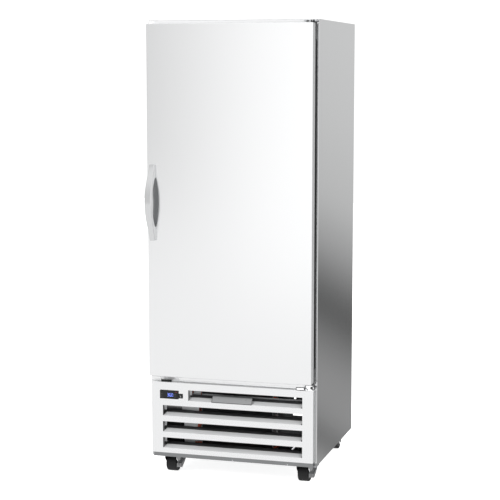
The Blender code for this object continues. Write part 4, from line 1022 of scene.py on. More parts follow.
def power_switch():
    low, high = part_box("switch_bezel")
    rocker_low, rocker_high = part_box("power_rocker")
    grille_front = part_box("grille_panel")[0].y
    shape = bmesh.new()
    outer = soft_rectangle(low.x, low.z, high.x, high.z, 0.0014, 4)
    hole = rectangle(
        rocker_low.x - 0.0005, rocker_low.z - 0.0007, rocker_high.x + 0.0005, rocker_high.z + 0.0007
    )
    inner = rounded(hole, 0.0006, 4, closed=True)
    add_ring_plate(shape, outer, inner, "Y", low.y, grille_front - 0.0003)
    piece("switch_frame", shape, "black_moulded", "black_plastic", replaces="switch_bezel", bevel=0.0005)
    middle = (rocker_low.z + rocker_high.z) / 2
    outline = [(low.y + 0.0060, rocker_low.z + 0.0006), (low.y + 0.0060, rocker_high.z - 0.0014)]
    for step in range(9):
        share = 1 - step / 8
        z = rocker_low.z + 0.0002 + (rocker_high.z - rocker_low.z - 0.0004) * share
        dish = 0.0007 * (1 - (2 * share - 1) ** 2)
        outline.append((rocker_low.y + 0.0001 + 0.0025 * (1 - share) + dish, z))
    prism_piece(
        "rocker_key", outline, "X", rocker_low.x, rocker_high.x, "black_moulded", "black_plastic",
        body="rocker", replaces="power_rocker", bevel=0.0004,
    )
    shape = bmesh.new()
    centre_x = (rocker_low.x + rocker_high.x) / 2
    face_low = rocker_low.y + 0.0001 + 0.0025 * 0.75 + 0.0006
    face_high = rocker_low.y + 0.0001 + 0.0025 * 0.25 + 0.0006
    outer, inner = (ellipse(centre_x, middle - 0.0024, radius, radius, 20) for radius in (0.0016, 0.0010))
    add_ring_plate(shape, outer, inner, "Y", face_low - 0.0005, face_low + 0.0004)
    near = (centre_x - 0.0004, face_high - 0.0005, middle + 0.0011)
    add_box(shape, near, (centre_x + 0.0004, face_high + 0.0004, middle + 0.0040))
    piece("rocker_marks", shape, "print_white", "black_plastic", "rocker")


def lock_keeper():
    low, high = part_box("lock_keeper")
    top = low.z + 0.0085
    end = high.x - 0.0022
    corner = 0.0008
    outline = [
        (low.x, low.z), (end, low.z), (end, top - corner), (end - corner, top), (low.x + corner, top),
        (low.x, top - corner),
    ]
    prism_piece(
        "keeper_block", outline, "Y", low.y + 0.001, low.y + 0.0065, "black_moulded", "black_plastic",
        replaces="lock_keeper", bevel=0.0007,
    )
    # The thin catch that leans from the block up to the door
    shape = bmesh.new()
    door_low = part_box("door_skin")[0]
    start = Vector((low.x + 0.0012, low.y + 0.0035, top - 0.0010))
    end = Vector((low.x - 0.002, low.y - 0.002, door_low.z - 0.0012))
    add_tube(shape, rounded([start, start + Vector((0, 0, 0.003)), end], 0.001, 3), 0.0006, 10)
    piece("keeper_catch", shape, "dark_zinc", "zinc")
    # The frame's bright lower strip, which shows between the door and the grille. It is satin only
    # behind the keeper.
    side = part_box("side_panel_left")[0]
    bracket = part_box("hinge_bracket_bottom")[0]
    step_y = side.y - 0.0018
    satin_start = low.x - 0.004
    satin_end = low.x + 0.068
    strips = (
        ("face_strip_left", "door_steel", side.x + 0.002, satin_start),
        ("keeper_backing", "strip_steel", satin_start, satin_end),
        ("face_lower_strip", "door_steel", satin_end, bracket.x - 0.002),
    )
    for name, look, start, stop in strips:
        shape = bmesh.new()
        add_box(shape, (start, step_y, low.z + 0.0002), (stop, side.y - 0.0001, low.z + 0.0147))
        ledge = max(start, side.x + 0.012)
        add_box(shape, (ledge, step_y - 0.009, low.z + 0.0004), (stop, step_y, low.z + 0.0026))
        piece(name, shape, look, "stainless", bevel=0.0003, segments=2)


def cabinet_inside():
    for node, look in (
        ("insulation_foam", "foam"), ("face_frame", "door_steel"), ("base_pan", "rail_zinc"),
        ("cord_gland", "black_moulded"),
    ):
        dress(node, look)

    # The moulded liner with rounded corners
    low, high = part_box("inner_liner")
    shape = bmesh.new()
    rings = []
    steps = (
        (low.y, 0), (high.y - 0.022, 0), (high.y - 0.012, 0.003), (high.y - 0.004, 0.010),
        (high.y, 0.022),
    )
    for depth, inset in steps:
        outline = soft_rectangle(low.x, low.z, high.x, high.z, 0.022, 8, inset)
        rings.append((outline, depth))
    add_dish(shape, rings)
    piece(
        "liner_shell", shape, "white_liner", "white_plastic", replaces="inner_liner", solidify=0.0015,
        angle=60,
    )

    # A galvanised sheet closes the foam over the machine compartment
    foam_low, foam_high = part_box("insulation_foam")
    near = (foam_low.x + 0.001, foam_low.y + 0.001, foam_low.z - 0.0014)
    sheet = (near, (foam_high.x - 0.001, foam_high.y - 0.001, foam_low.z - 0.0002))
    box_piece("compartment_ceiling", [sheet], "galvanised", "galvanised")
    pilasters()
    shelves()
    lamp()


def pilasters():
    """Slotted channels for the shelf clips."""
    pitch, slot_tall, slot_wide = 0.0127, 0.0075, 0.0055
    for side, sign in SIDES:
        for place in ("front", "back"):
            node = f"pilaster_{side}_{place}"
            low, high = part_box(node)
            wall_x = low.x if sign < 0 else high.x
            face_x = wall_x - sign * 0.0099
            middle = (low.y + high.y) / 2
            slots = []
            z = low.z + 0.012
            while z < high.z - 0.018:
                slots.append((middle - slot_wide / 2, z, middle + slot_wide / 2, z + slot_tall))
                z += pitch
            shape = bmesh.new()
            add_pierced_sheet(shape, (low.y, low.z, high.y, high.z), slots, "X", face_x)
            sides = (("y", low.y), ("y", high.y))
            rim = [edge for edge in shape.edges if len(edge.link_faces) == 1 and lies_on(edge, sides)]
            turn_in(shape, rim, "x", wall_x)
            piece(f"{node}_channel", shape, "zinc", "galvanised", replaces=node, solidify=0.0009)


def add_clip(shape, face_x, sign, middle, shelf_z):
    """A pressed clip: two hooks in the pilaster and a ledge under the shelf's side wire."""
    outline = [
        (face_x + sign * 0.0012, shelf_z + 0.010), (face_x - sign * 0.0006, shelf_z + 0.011),
        (face_x - sign * 0.0010, shelf_z + 0.001), (face_x - sign * 0.0130, shelf_z - 0.0006),
        (face_x - sign * 0.0140, shelf_z + 0.0020), (face_x - sign * 0.0152, shelf_z + 0.0016),
        (face_x - sign * 0.0142, shelf_z - 0.0024), (face_x - sign * 0.0020, shelf_z - 0.0026),
        (face_x - sign * 0.0008, shelf_z - 0.0110), (face_x + sign * 0.0012, shelf_z - 0.0120),
    ]
    if sign > 0:
        outline.reverse()
    add_prism(shape, outline, "Y", middle - 0.0085, middle + 0.0085)


def shelves():
    for number in (1, 2, 3):
        node = f"wire_shelf_{number}"
        low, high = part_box(node)
        frame_radius, wire_radius = 0.0030, 0.0016
        level = low.z + frame_radius + 0.0004
        shape = bmesh.new()
        corners = rectangle(
            low.x + frame_radius, low.y + frame_radius, high.x - frame_radius, high.y - frame_radius
        )
        edge = rounded([(x, y, level) for x, y in corners], 0.014, 6, closed=True)
        add_tube(shape, edge, frame_radius, 12, closed=True)
        for share in (0.26, 0.5, 0.74):
            y = low.y + (high.y - low.y) * share
            ends = [(low.x + frame_radius, y, level), (high.x - frame_radius, y, level)]
            add_tube(shape, ends, frame_radius * 0.8, 10)
        top = level + frame_radius * 0.8 + wire_radius * 0.8
        count = 23
        for index in range(count):
            x = low.x + 0.012 + (high.x - low.x - 0.024) * index / (count - 1)
            run = [
                (x, low.y + 0.0012, level - 0.001), (x, low.y + 0.0012, top), (x, high.y - 0.0012, top),
                (x, high.y - 0.0012, level - 0.001),
            ]
            add_tube(shape, rounded(run, 0.0022, 3), wire_radius, 8)
        piece(f"{node}_wires", shape, "white_enamel", "coated_wire", replaces=node, angle=50)
        shape = bmesh.new()
        for side, sign in SIDES:
            for place in ("front", "back"):
                rail_low, rail_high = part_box(f"pilaster_{side}_{place}")
                wall_x = rail_low.x if sign < 0 else rail_high.x
                middle = (rail_low.y + rail_high.y) / 2
                add_clip(shape, wall_x - sign * 0.0099, sign, middle, low.z + 0.0004)
        piece(f"{node}_clips", shape, "zinc", "galvanised", bevel=0.0003, segments=2)


def lamp():
    low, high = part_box("interior_lamp")
    middle, half = (low.y + high.y) / 2, (high.y - low.y) / 2
    outline = []
    for step in range(13):
        turn = math.pi * step / 12
        outline.append((middle - half * math.cos(turn), high.z - (high.z - low.z) * math.sin(turn) ** 0.6))
    prism_piece(
        "lamp_diffuser", outline, "X", low.x + 0.006, high.x - 0.006, "lamp", "lamp",
        replaces="interior_lamp", bevel=0.0008,
    )
    shape = bmesh.new()
    for start in (low.x, high.x - 0.008):
        add_prism(shape, outline, "X", start, start + 0.008)
    bmesh.ops.scale(
        shape,
        vec=(1.0, 1.06, 1.0),
        verts=shape.verts,
        space=Matrix.Translation((0, -(low.y + high.y) / 2, 0)),
    )
    piece("lamp_end_caps", shape, "white_liner", "white_plastic", bevel=0.0008)


def add_fan_blades(shape, centre, hub_radius, radius, count, depth, facing):
    """Cambered, twisted blades round an axis along Y."""
    spans, chords = 8, 8
    thick = 0.0014
    for index in range(count):
        base_turn = math.tau * index / count
        grids = []
        for offset in (-thick / 2, thick / 2):
            grid = []
            for i in range(spans + 1):
                share = i / spans
                reach = hub_radius * 0.9 + (radius - hub_radius * 0.9) * share
                width = math.radians(34 + 26 * share)
                pitch = depth * (0.46 - 0.10 * share)
                row = []
                for j in range(chords + 1):
                    across = j / chords - 0.5
                    turn = base_turn + width * across + 0.18 * share
                    camber = depth * 0.10 * (1 - 4 * across * across)
                    trim = 1 - 0.07 * (2 * across) ** 4 * share
                    y = facing * (pitch * 2 * across + camber) + offset
                    x = centre[0] + reach * trim * math.cos(turn)
                    z = centre[2] + reach * trim * math.sin(turn)
                    row.append(shape.verts.new((x, centre[1] + y, z)))
                grid.append(row)
            grids.append(grid)
        front, back = grids
        for i in range(spans):
            for j in range(chords):
                shape.faces.new((front[i][j], front[i][j + 1], front[i + 1][j + 1], front[i + 1][j]))
                shape.faces.new((back[i][j], back[i + 1][j], back[i + 1][j + 1], back[i][j + 1]))
        rim = [(0, j) for j in range(chords)] + [(i, chords) for i in range(spans)]
        rim += [(spans, j) for j in range(chords, 0, -1)] + [(i, 0) for i in range(spans, 0, -1)]
        for (i, j), (k, m) in zip(rim, [*rim[1:], rim[0]]):
            shape.faces.new((front[i][j], back[i][j], back[k][m], front[k][m]))


def fan(node, name, body, hub_radius, count, look, facing):
    low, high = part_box(node)
    axis = joint_place(f"{body}_spin")
    centre = (axis.x, (low.y + high.y) / 2, axis.z)
    depth = high.y - low.y
    radius = (high.x - low.x) / 2 - 0.001
    shape = bmesh.new()
    add_fan_blades(shape, centre, hub_radius, radius, count, depth, facing)
    piece(f"{name}_blades", shape, look, "aluminium", body, replaces=node, angle=40)
    half = depth / 2
    profile = [
        (0, -half), (hub_radius * 0.6, -half), (hub_radius * 0.93, -half * 0.8),
        (hub_radius, -half * 0.4), (hub_radius, half * 0.85), (hub_radius * 0.9, half), (0, half),
    ]
    lathe_piece(f"{name}_hub", profile, centre, "Y", 40, "black_moulded", "aluminium", body=body)


def add_guard(shape, centre, radii, y, bulge, spokes):
    """A wire guard: rings joined by spokes, about an axis along Y."""
    for index, radius in enumerate(radii):
        lift = bulge * (1 - (radius / radii[-1]) ** 2)
        ring = [(x, y + lift, z) for x, z in ellipse(centre[0], centre[2], radius, radius, 48)]
        add_tube(shape, ring, 0.0012, 6, closed=True)
    for index in range(spokes):
        turn = math.tau * (index + 0.5) / spokes
        run = []
        for step in range(7):
            radius = radii[0] + (radii[-1] - radii[0]) * step / 6
            lift = bulge * (1 - (radius / radii[-1]) ** 2)
            run.append((centre[0] + radius * math.cos(turn), y + lift, centre[2] + radius * math.sin(turn)))
        add_tube(shape, run, 0.0014, 6)


def add_fins(shape, low, high, pitch, thick):
    """Thin upright fins, side by side along X."""
    count = int((high[0] - low[0]) / pitch)
    for index in range(count + 1):
        x = low[0] + (high[0] - low[0] - thick) * index / count
        add_box(shape, (x, low[1], low[2]), (x + thick, high[1], high[2]))


def serpentine(left, right, y, heights):
    """The corners of a coil that crosses from side to side at each height in turn."""
    stops = []
    for row, height in enumerate(heights):
        ends = (left, right) if row % 2 == 0 else (right, left)
        stops += [(ends[0], y, height), (ends[1], y, height)]
    return stops


def condensing_unit():
    low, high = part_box("condenser_fins")
    tube_low, tube_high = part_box("condenser_tubes")
    rows = 6
    pitch = (high.z - low.z) / rows
    heights = [low.z + pitch * (row + 0.5) for row in range(rows)]
    shape = bmesh.new()
    add_fins(shape, low, high, 0.0032, 0.0007)
    piece("condenser_fin_pack", shape, "black_fin", "black_fins", replaces="condenser_fins")
    shape = bmesh.new()
    for x, out in ((low.x - 0.0016, -1), (high.x + 0.0002, 1)):
        add_box(shape, (x, low.y - 0.001, low.z - 0.002), (x + 0.0014, high.y - 0.0005, high.z + 0.002))
        edges = sorted((x + 0.0007, x + 0.0007 + out * 0.012))
        add_box(shape, (edges[0], high.y - 0.004, low.z), (edges[1], high.y - 0.003, high.z))
    piece("condenser_end_plates", shape, "pedal_zinc", "black_fins", bevel=0.0004)

    radius = 0.0045
    left, right = tube_low.x + radius, tube_high.x - radius
    bend = pitch / 2 - 0.0006
    shape = bmesh.new()
    for depth, lift in ((low.y + 0.0125, 0.0), (high.y - 0.0105, -0.006)):
        run = serpentine(left, right, depth, [height + lift for height in heights])
        add_tube(shape, rounded(run, bend, 8), radius, 12)
    piece("condenser_coil", shape, "copper", "copper", replaces="condenser_tubes", angle=50)

    shroud()
    fan("condenser_fan_blade", "condenser_fan", "condenser_fan", 0.022, 5, "aluminium", 1)
    motor_low, motor_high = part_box("condenser_fan_motor")
    centre_x = (motor_low.x + motor_high.x) / 2
    centre_z = (motor_low.z + motor_high.z) / 2
    shroud_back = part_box("condenser_shroud")[1].y
    front = shroud_back + 0.002
    profile = [
        (0.0035, motor_low.y), (0.0035, front), (0.020, front), (0.030, front + 0.002),
        (0.0375, front + 0.010), (0.038, front + 0.020), (0.0365, front + 0.021),
        (0.0365, front + 0.027), (0.038, front + 0.028), (0.038, front + 0.052), (0.033, front + 0.061),
        (0.012, motor_high.y), (0, motor_high.y),
    ]
    lathe_piece(
        "condenser_motor_can", [(0, motor_low.y), *profile], (centre_x, 0, centre_z), "Y", 48,
        "black_enamel", "black_paint", replaces="condenser_fan_motor", angle=50,
    )
    shape = bmesh.new()
    reach = (motor_high.x - motor_low.x) / 2
    for index in range(4):
        turn = math.tau * (index + 0.5) / 4
        out = Vector((math.cos(turn), 0, math.sin(turn)))
        middle = Vector((centre_x, shroud_back + 0.003, centre_z))
        run = [
            middle + out * 0.026 + Vector((0, 0.010, 0)),
            middle + out * 0.045 + Vector((0, 0.012, 0)),
            middle + out * (reach - 0.012),
            middle + out * (reach - 0.002),
        ]
        add_tube(shape, rounded(run, 0.006, 4), 0.0028, 10)
    radii = [0.045, 0.060, 0.075, 0.090, 0.1035]
    add_guard(shape, (centre_x, 0, centre_z), radii, shroud_back + 0.002, 0.010, 8)
    piece("condenser_fan_guard", shape, "black_enamel", "black_paint", angle=50)
    compressor_unit()
    lines()
    behind_the_slots()


def shroud():
    """The fan's sheet housing, and a baffle beside it that leaves three small openings."""
    low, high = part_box("condenser_shroud")
    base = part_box("side_panel_left")[0].z
    right = 0.2045
    sheet = 0.001
    fan_axis = joint_place("condenser_fan_spin")
    centre = (fan_axis[0], fan_axis[2])
    shape = bmesh.new()
    add_box(shape, (low.x, low.y, high.z - sheet), (right, high.y, high.z))
    add_box(shape, (low.x, low.y, low.z), (right, high.y, low.z + sheet))
    add_box(shape, (low.x, low.y, low.z + sheet), (low.x + sheet, high.y - sheet, high.z - sheet))
    add_box(shape, (right - sheet, low.y, low.z + sheet), (right, high.y - sheet, high.z - sheet))
    outer, inner = [], []
    count = 72
    for k in range(count):
        across, up = math.cos(math.tau * k / count), math.sin(math.tau * k / count)
        side = (right if across > 0 else low.x) - centre[0]
        cap = (high.z if up > 0 else low.z) - centre[1]
        reach = min(side / across if abs(across) > 1e-6 else 9, cap / up if abs(up) > 1e-6 else 9)
        outer.append((centre[0] + reach * across, centre[1] + reach * up))
        inner.append((centre[0] + 0.100 * across, centre[1] + 0.100 * up))
    for edge_x in (low.x, right):
        for edge_z in (low.z, high.z):
            nearest = min(
                range(count), key=lambda k: math.hypot(outer[k][0] - edge_x, outer[k][1] - edge_z)
            )
            outer[nearest] = (edge_x, edge_z)
    add_ring_plate(shape, outer, inner, "Y", high.y - sheet, high.y)
    piece(
        "condenser_fan_shroud", shape, "black_enamel", "black_paint", replaces="condenser_shroud", angle=30
    )

    shape = bmesh.new()
    start, stop = low.y + 0.0005, low.y + 0.0015
    left, edge = 0.2235, 0.2623

    def sheet_between(x_low, z_low, x_high, z_high):
        add_box(shape, (x_low, start, base + z_low), (x_high, stop, base + z_high))

    slit_low, slit_high = 0.0326, 0.0504
    slant = (0.2137, 0.2221, 0.2379, 0.2296)
    sheet_between(0.152, 0.0226, slant[0] - 0.0002, slit_low)
    sheet_between(slant[0], 0.0226, edge, slit_low)
    sheet_between(edge, 0.0226, 0.2755, 0.279)
    sheet_between(0.152, slit_high, left, 0.279)
    for side in (
        [(0.152, slit_low), (slant[0], slit_low), (slant[3], slit_high), (0.152, slit_high)],
        [(slant[1], slit_low), (edge, slit_low), (edge, slit_high), (slant[2], slit_high)],
    ):
        add_prism(shape, [(x, base + z) for x, z in side], "Y", start, stop)
    low_edge = [(left, slit_high), (edge, slit_high), (edge, 0.1793), (0.2466, 0.1713), (0.2399, 0.1733)]
    low_edge += [(0.2282, 0.1721), (left, 0.1701)]
    add_prism(shape, [(x, base + z) for x, z in low_edge], "Y", start, stop)
    sheet_between(left, 0.1850, edge, 0.2455)
    sheet_between(left, 0.2455, 0.2280, 0.2540)
    sheet_between(0.2360, 0.2455, edge, 0.2540)
    sheet_between(left, 0.2540, edge, 0.279)
    piece("condenser_baffle", shape, "black_enamel", "black_paint")


def compressor_unit():
    low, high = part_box("compressor_shell")
    centre_x = (low.x + high.x) / 2
    centre_y = (low.y + high.y) / 2
    radius = (high.y - low.y) / 2
    floor = low.z
    bottom = floor + 0.014
    profile = [
        (0, bottom), (radius * 0.62, bottom + 0.001), (radius * 0.88, bottom + 0.010),
        (radius * 0.97, bottom + 0.028), (radius * 0.98, bottom + 0.095), (radius, bottom + 0.097),
        (radius, bottom + 0.106), (radius * 0.98, bottom + 0.108), (radius * 0.97, high.z - 0.048),
        (radius * 0.90, high.z - 0.022), (radius * 0.72, high.z - 0.007),
        (radius * 0.40, high.z - 0.001), (0, high.z),
    ]
    lathe_piece(
        "compressor_can", profile, (centre_x, centre_y, 0), "Z", 64, "black_enamel", "black_paint",
        replaces="compressor_shell", angle=60,
    )
    outline = soft_rectangle(
        centre_x - 0.094, centre_y - 0.049, centre_x + 0.094, centre_y + 0.049, 0.016, 6
    )
    prism_piece(
        "compressor_feet_plate", outline, "Z", bottom - 0.003, bottom + 0.0005, "black_enamel",
        "black_paint", bevel=0.0008,
    )
    shape = bmesh.new()
    bolts = bmesh.new()
    for dx in (-0.080, 0.080):
        for dy in (-0.035, 0.035):
            profile = [
                (0.0, floor), (0.0105, floor), (0.011, floor + 0.002), (0.009, floor + 0.005),
                (0.011, floor + 0.008), (0.0105, bottom - 0.0032), (0.0, bottom - 0.0032),
            ]
            add_lathe(shape, profile, (centre_x + dx, centre_y + dy, 0), "Z", 24)
            head = [
                (0, bottom), (0.0062, bottom), (0.0062, bottom + 0.0045), (0.0045, bottom + 0.0055),
                (0, bottom + 0.0055),
            ]
            add_lathe(bolts, head, (centre_x + dx, centre_y + dy, 0), "Z", 6)
    piece("compressor_grommets", shape, "rubber", "black_paint", angle=50)
    piece("compressor_bolts", bolts, "zinc", "zinc", bevel=0.0003, segments=2, angle=25)
    near = (centre_x - radius - 0.020, centre_y - 0.026, bottom + 0.048)
    cover = (near, (centre_x - radius + 0.014, centre_y + 0.026, bottom + 0.096))
    box_piece("terminal_cover", [cover], "black_moulded", "black_paint", bevel=0.004, segments=4)
    stub = [
        (centre_x + 0.030, centre_y - radius * 0.86, bottom + 0.060),
        (centre_x + 0.034, centre_y - radius - 0.020, bottom + 0.060),
        (centre_x + 0.034, centre_y - radius - 0.024, bottom + 0.085),
    ]
    tube_piece("compressor_process_stub", rounded(stub, 0.008, 5), 0.0032, 12, "copper", "copper")


def lines():
    """Copper lines at their CAD places, the liquid line and its filter drier."""
    shell_low, shell_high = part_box("compressor_shell")
    centre_x = (shell_low.x + shell_high.x) / 2
    centre_y = (shell_low.y + shell_high.y) / 2
    radius = (shell_high.y - shell_low.y) / 2
    coil_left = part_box("condenser_tubes")[0].x
    low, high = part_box("discharge_line")
    tube = 0.004
    side_x = low.x + tube
    hot_y = low.y + tube
    hot_top = high.z - tube
    hot_low = low.z + tube
    run = [
        (centre_x, centre_y - radius * 0.9, hot_low), (centre_x, centre_y - 0.110, hot_low),
        (side_x, centre_y - 0.110, hot_low), (side_x, hot_y, hot_low), (side_x, hot_y, hot_top),
        (coil_left + 0.004, hot_y, hot_top),
    ]
    tube_piece(
        "hot_gas_line", rounded(run, 0.012, 8), tube, 14, "copper", "copper", replaces="discharge_line"
    )

    low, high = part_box("suction_line")
    tube = 0.006
    riser_x, riser_z = high.x - tube, 0.362
    run = [
        (centre_x + radius * 0.9, centre_y, low.z + tube), (riser_x, centre_y, low.z + tube),
        (riser_x, centre_y, riser_z), (riser_x, high.y - tube, riser_z),
        (riser_x, high.y - tube, high.z),
    ]
    tube_piece(
        "suction_pipe", rounded(run, 0.014, 8), tube, 14, "copper", "copper", replaces="suction_line"
    )
    sleeve = bmesh.new()
    add_tube(sleeve, rounded(run[1:4], 0.014, 8), tube + 0.006, 16)
    piece("suction_insulation", sleeve, "rubber", "gasket", angle=50)

    # Liquid line and filter drier, on the left of the condenser
    fins_low, fins_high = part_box("condenser_fins")
    coil_y = fins_low.y + 0.0125
    coil_bottom = fins_low.z + (fins_high.z - fins_low.z) / 12
    drier_x, drier_y = -0.225, coil_y + 0.250
    drier_low, drier_high = coil_bottom + 0.060, coil_bottom + 0.170
    profile = [
        (0, drier_low - 0.020), (0.0034, drier_low - 0.020), (0.0040, drier_low - 0.008),
        (0.0140, drier_low + 0.006), (0.0140, drier_high - 0.006), (0.0040, drier_high + 0.008),
        (0.0034, drier_high + 0.020), (0, drier_high + 0.020),
    ]
    lathe_piece("filter_drier", profile, (drier_x, drier_y, 0), "Z", 32, "copper", "copper", angle=50)
    shape = bmesh.new()
    run = [
        (coil_left + 0.004, coil_y, coil_bottom), (drier_x, coil_y, coil_bottom),
        (drier_x, drier_y, coil_bottom), (drier_x, drier_y, drier_low - 0.010),
    ]
    add_tube(shape, rounded(run, 0.010, 6), 0.0032, 12)
    run = [
        (drier_x, drier_y, drier_high + 0.010), (drier_x, drier_y, 0.372),
        (drier_x, drier_y + 0.060, 0.372),
        (drier_x, drier_y + 0.060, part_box("insulation_foam")[0].z - 0.001),
    ]
    add_tube(shape, rounded(run, 0.008, 6), 0.0024, 12)
    piece("liquid_line", shape, "copper", "copper", angle=50)


def behind_the_slots():
    """A cross member under the top slot, and a pale relay box at the left."""
    fins_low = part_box("condenser_fins")[0]
    grille_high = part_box("grille_panel")[1]
    shape = bmesh.new()
    member_z = grille_high.z - 0.086
    member_y, member_top = fins_low.y - 0.004, member_z + 0.020
    add_box(shape, (-0.300, member_y, member_z), (0.300, fins_low.y - 0.0025, member_top))
    add_box(shape, (-0.300, member_y, member_z + 0.0185), (0.300, fins_low.y + 0.012, member_top))
    piece("cross_member", shape, "galvanised", "galvanised", bevel=0.0003, segments=2)
    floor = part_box("compressor_shell")[0].z
    shape = bmesh.new()
    front = fins_low.y + 0.0045
    thick = 0.001
    add_box(shape, (-0.225, front, floor + 0.012), (-0.179, front + thick, floor + 0.095))
    add_box(shape, (-0.225, front, floor + 0.095), (-0.168, front + thick, floor + 0.130))
    add_box(shape, (-0.235, front, floor + 0.174), (-0.162, front + thick, floor + 0.216))
    add_box(shape, (-0.183, front, floor + 0.216), (-0.153, front + thick, floor + 0.292))
    add_box(shape, (-0.225, front + thick, floor + 0.012), (-0.224, front + 0.080, floor + 0.130))
    piece("relay_cover", shape, "relay_grey", "galvanised", bevel=0.0003, segments=2)
    # A near-black plate between the relay covers: painted shade
    shade = ((-0.2505, front, floor + 0.130), (-0.162, front + thick, floor + 0.174))
    box_piece("relay_shade", [shade], "dark_flange", "galvanised", bevel=0.0003, segments=2)
    # The shelf is pale: a painted highlight, the bright streak in the second slot
    spans = [
        ((-0.2877, front - 0.010, floor + 0.168), (-0.2005, front - 0.009, floor + 0.1735)),
        ((-0.2877, front - 0.010, floor + 0.168), (-0.2005, front - 0.0005, floor + 0.169)),
    ]
    box_piece("relay_shelf", spans, "bright_plate", "galvanised", bevel=0.0003, segments=2)
    housing = ((-0.330, front + 0.050, floor + 0.010), (-0.240, front + 0.120, floor + 0.135))
    box_piece("relay_housing", [housing], "rubber", "galvanised", bevel=0.0020)
    dress("condensate_pan", "galvanised")


def evaporator():
    dress("evaporator_cover", "aluminium")
    low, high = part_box("evaporator_coil")
    fin_half = 0.215
    shape = bmesh.new()
    add_fins(shape, (-fin_half, low.y, low.z), (fin_half, high.y, high.z), 0.005, 0.0006)
    piece("evaporator_fin_pack", shape, "aluminium", "aluminium", replaces="evaporator_coil")
    shape = bmesh.new()
    for depth in (0.030, 0.070, 0.110, 0.140):
        heights = [low.z + 0.020 + 0.032 * row for row in range(4)]
        run = serpentine(low.x + 0.0045, high.x - 0.0045, low.y + depth, heights)
        add_tube(shape, rounded(run, 0.0150, 6), 0.0045, 10)
    piece("evaporator_tubes", shape, "copper", "aluminium", angle=50)
    fan("evaporator_fan_blade", "evaporator_fan", "evaporator_fan", 0.016, 5, "aluminium", -1)
    dress("evaporator_fan_motor", "black_enamel")
    centre = joint_place("evaporator_fan_spin")
    cover_low, cover_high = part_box("evaporator_cover")
    shape = bmesh.new()
    radii = [0.014, 0.026, 0.038, 0.050, 0.062, 0.0725]
    add_guard(shape, centre, radii, cover_low.y - 0.0016, -0.004, 6)
    piece("evaporator_fan_guard", shape, "chrome", "aluminium", angle=50)
    places = [
        (sign * (cover_high.x - 0.012), cover_low.y, z)
        for sign in (-1, 1)
        for z in (cover_low.z + 0.015, cover_high.z - 0.015)
    ]
    screws("evaporator_screws", places, (0, -1, 0), 0.0036, "zinc")


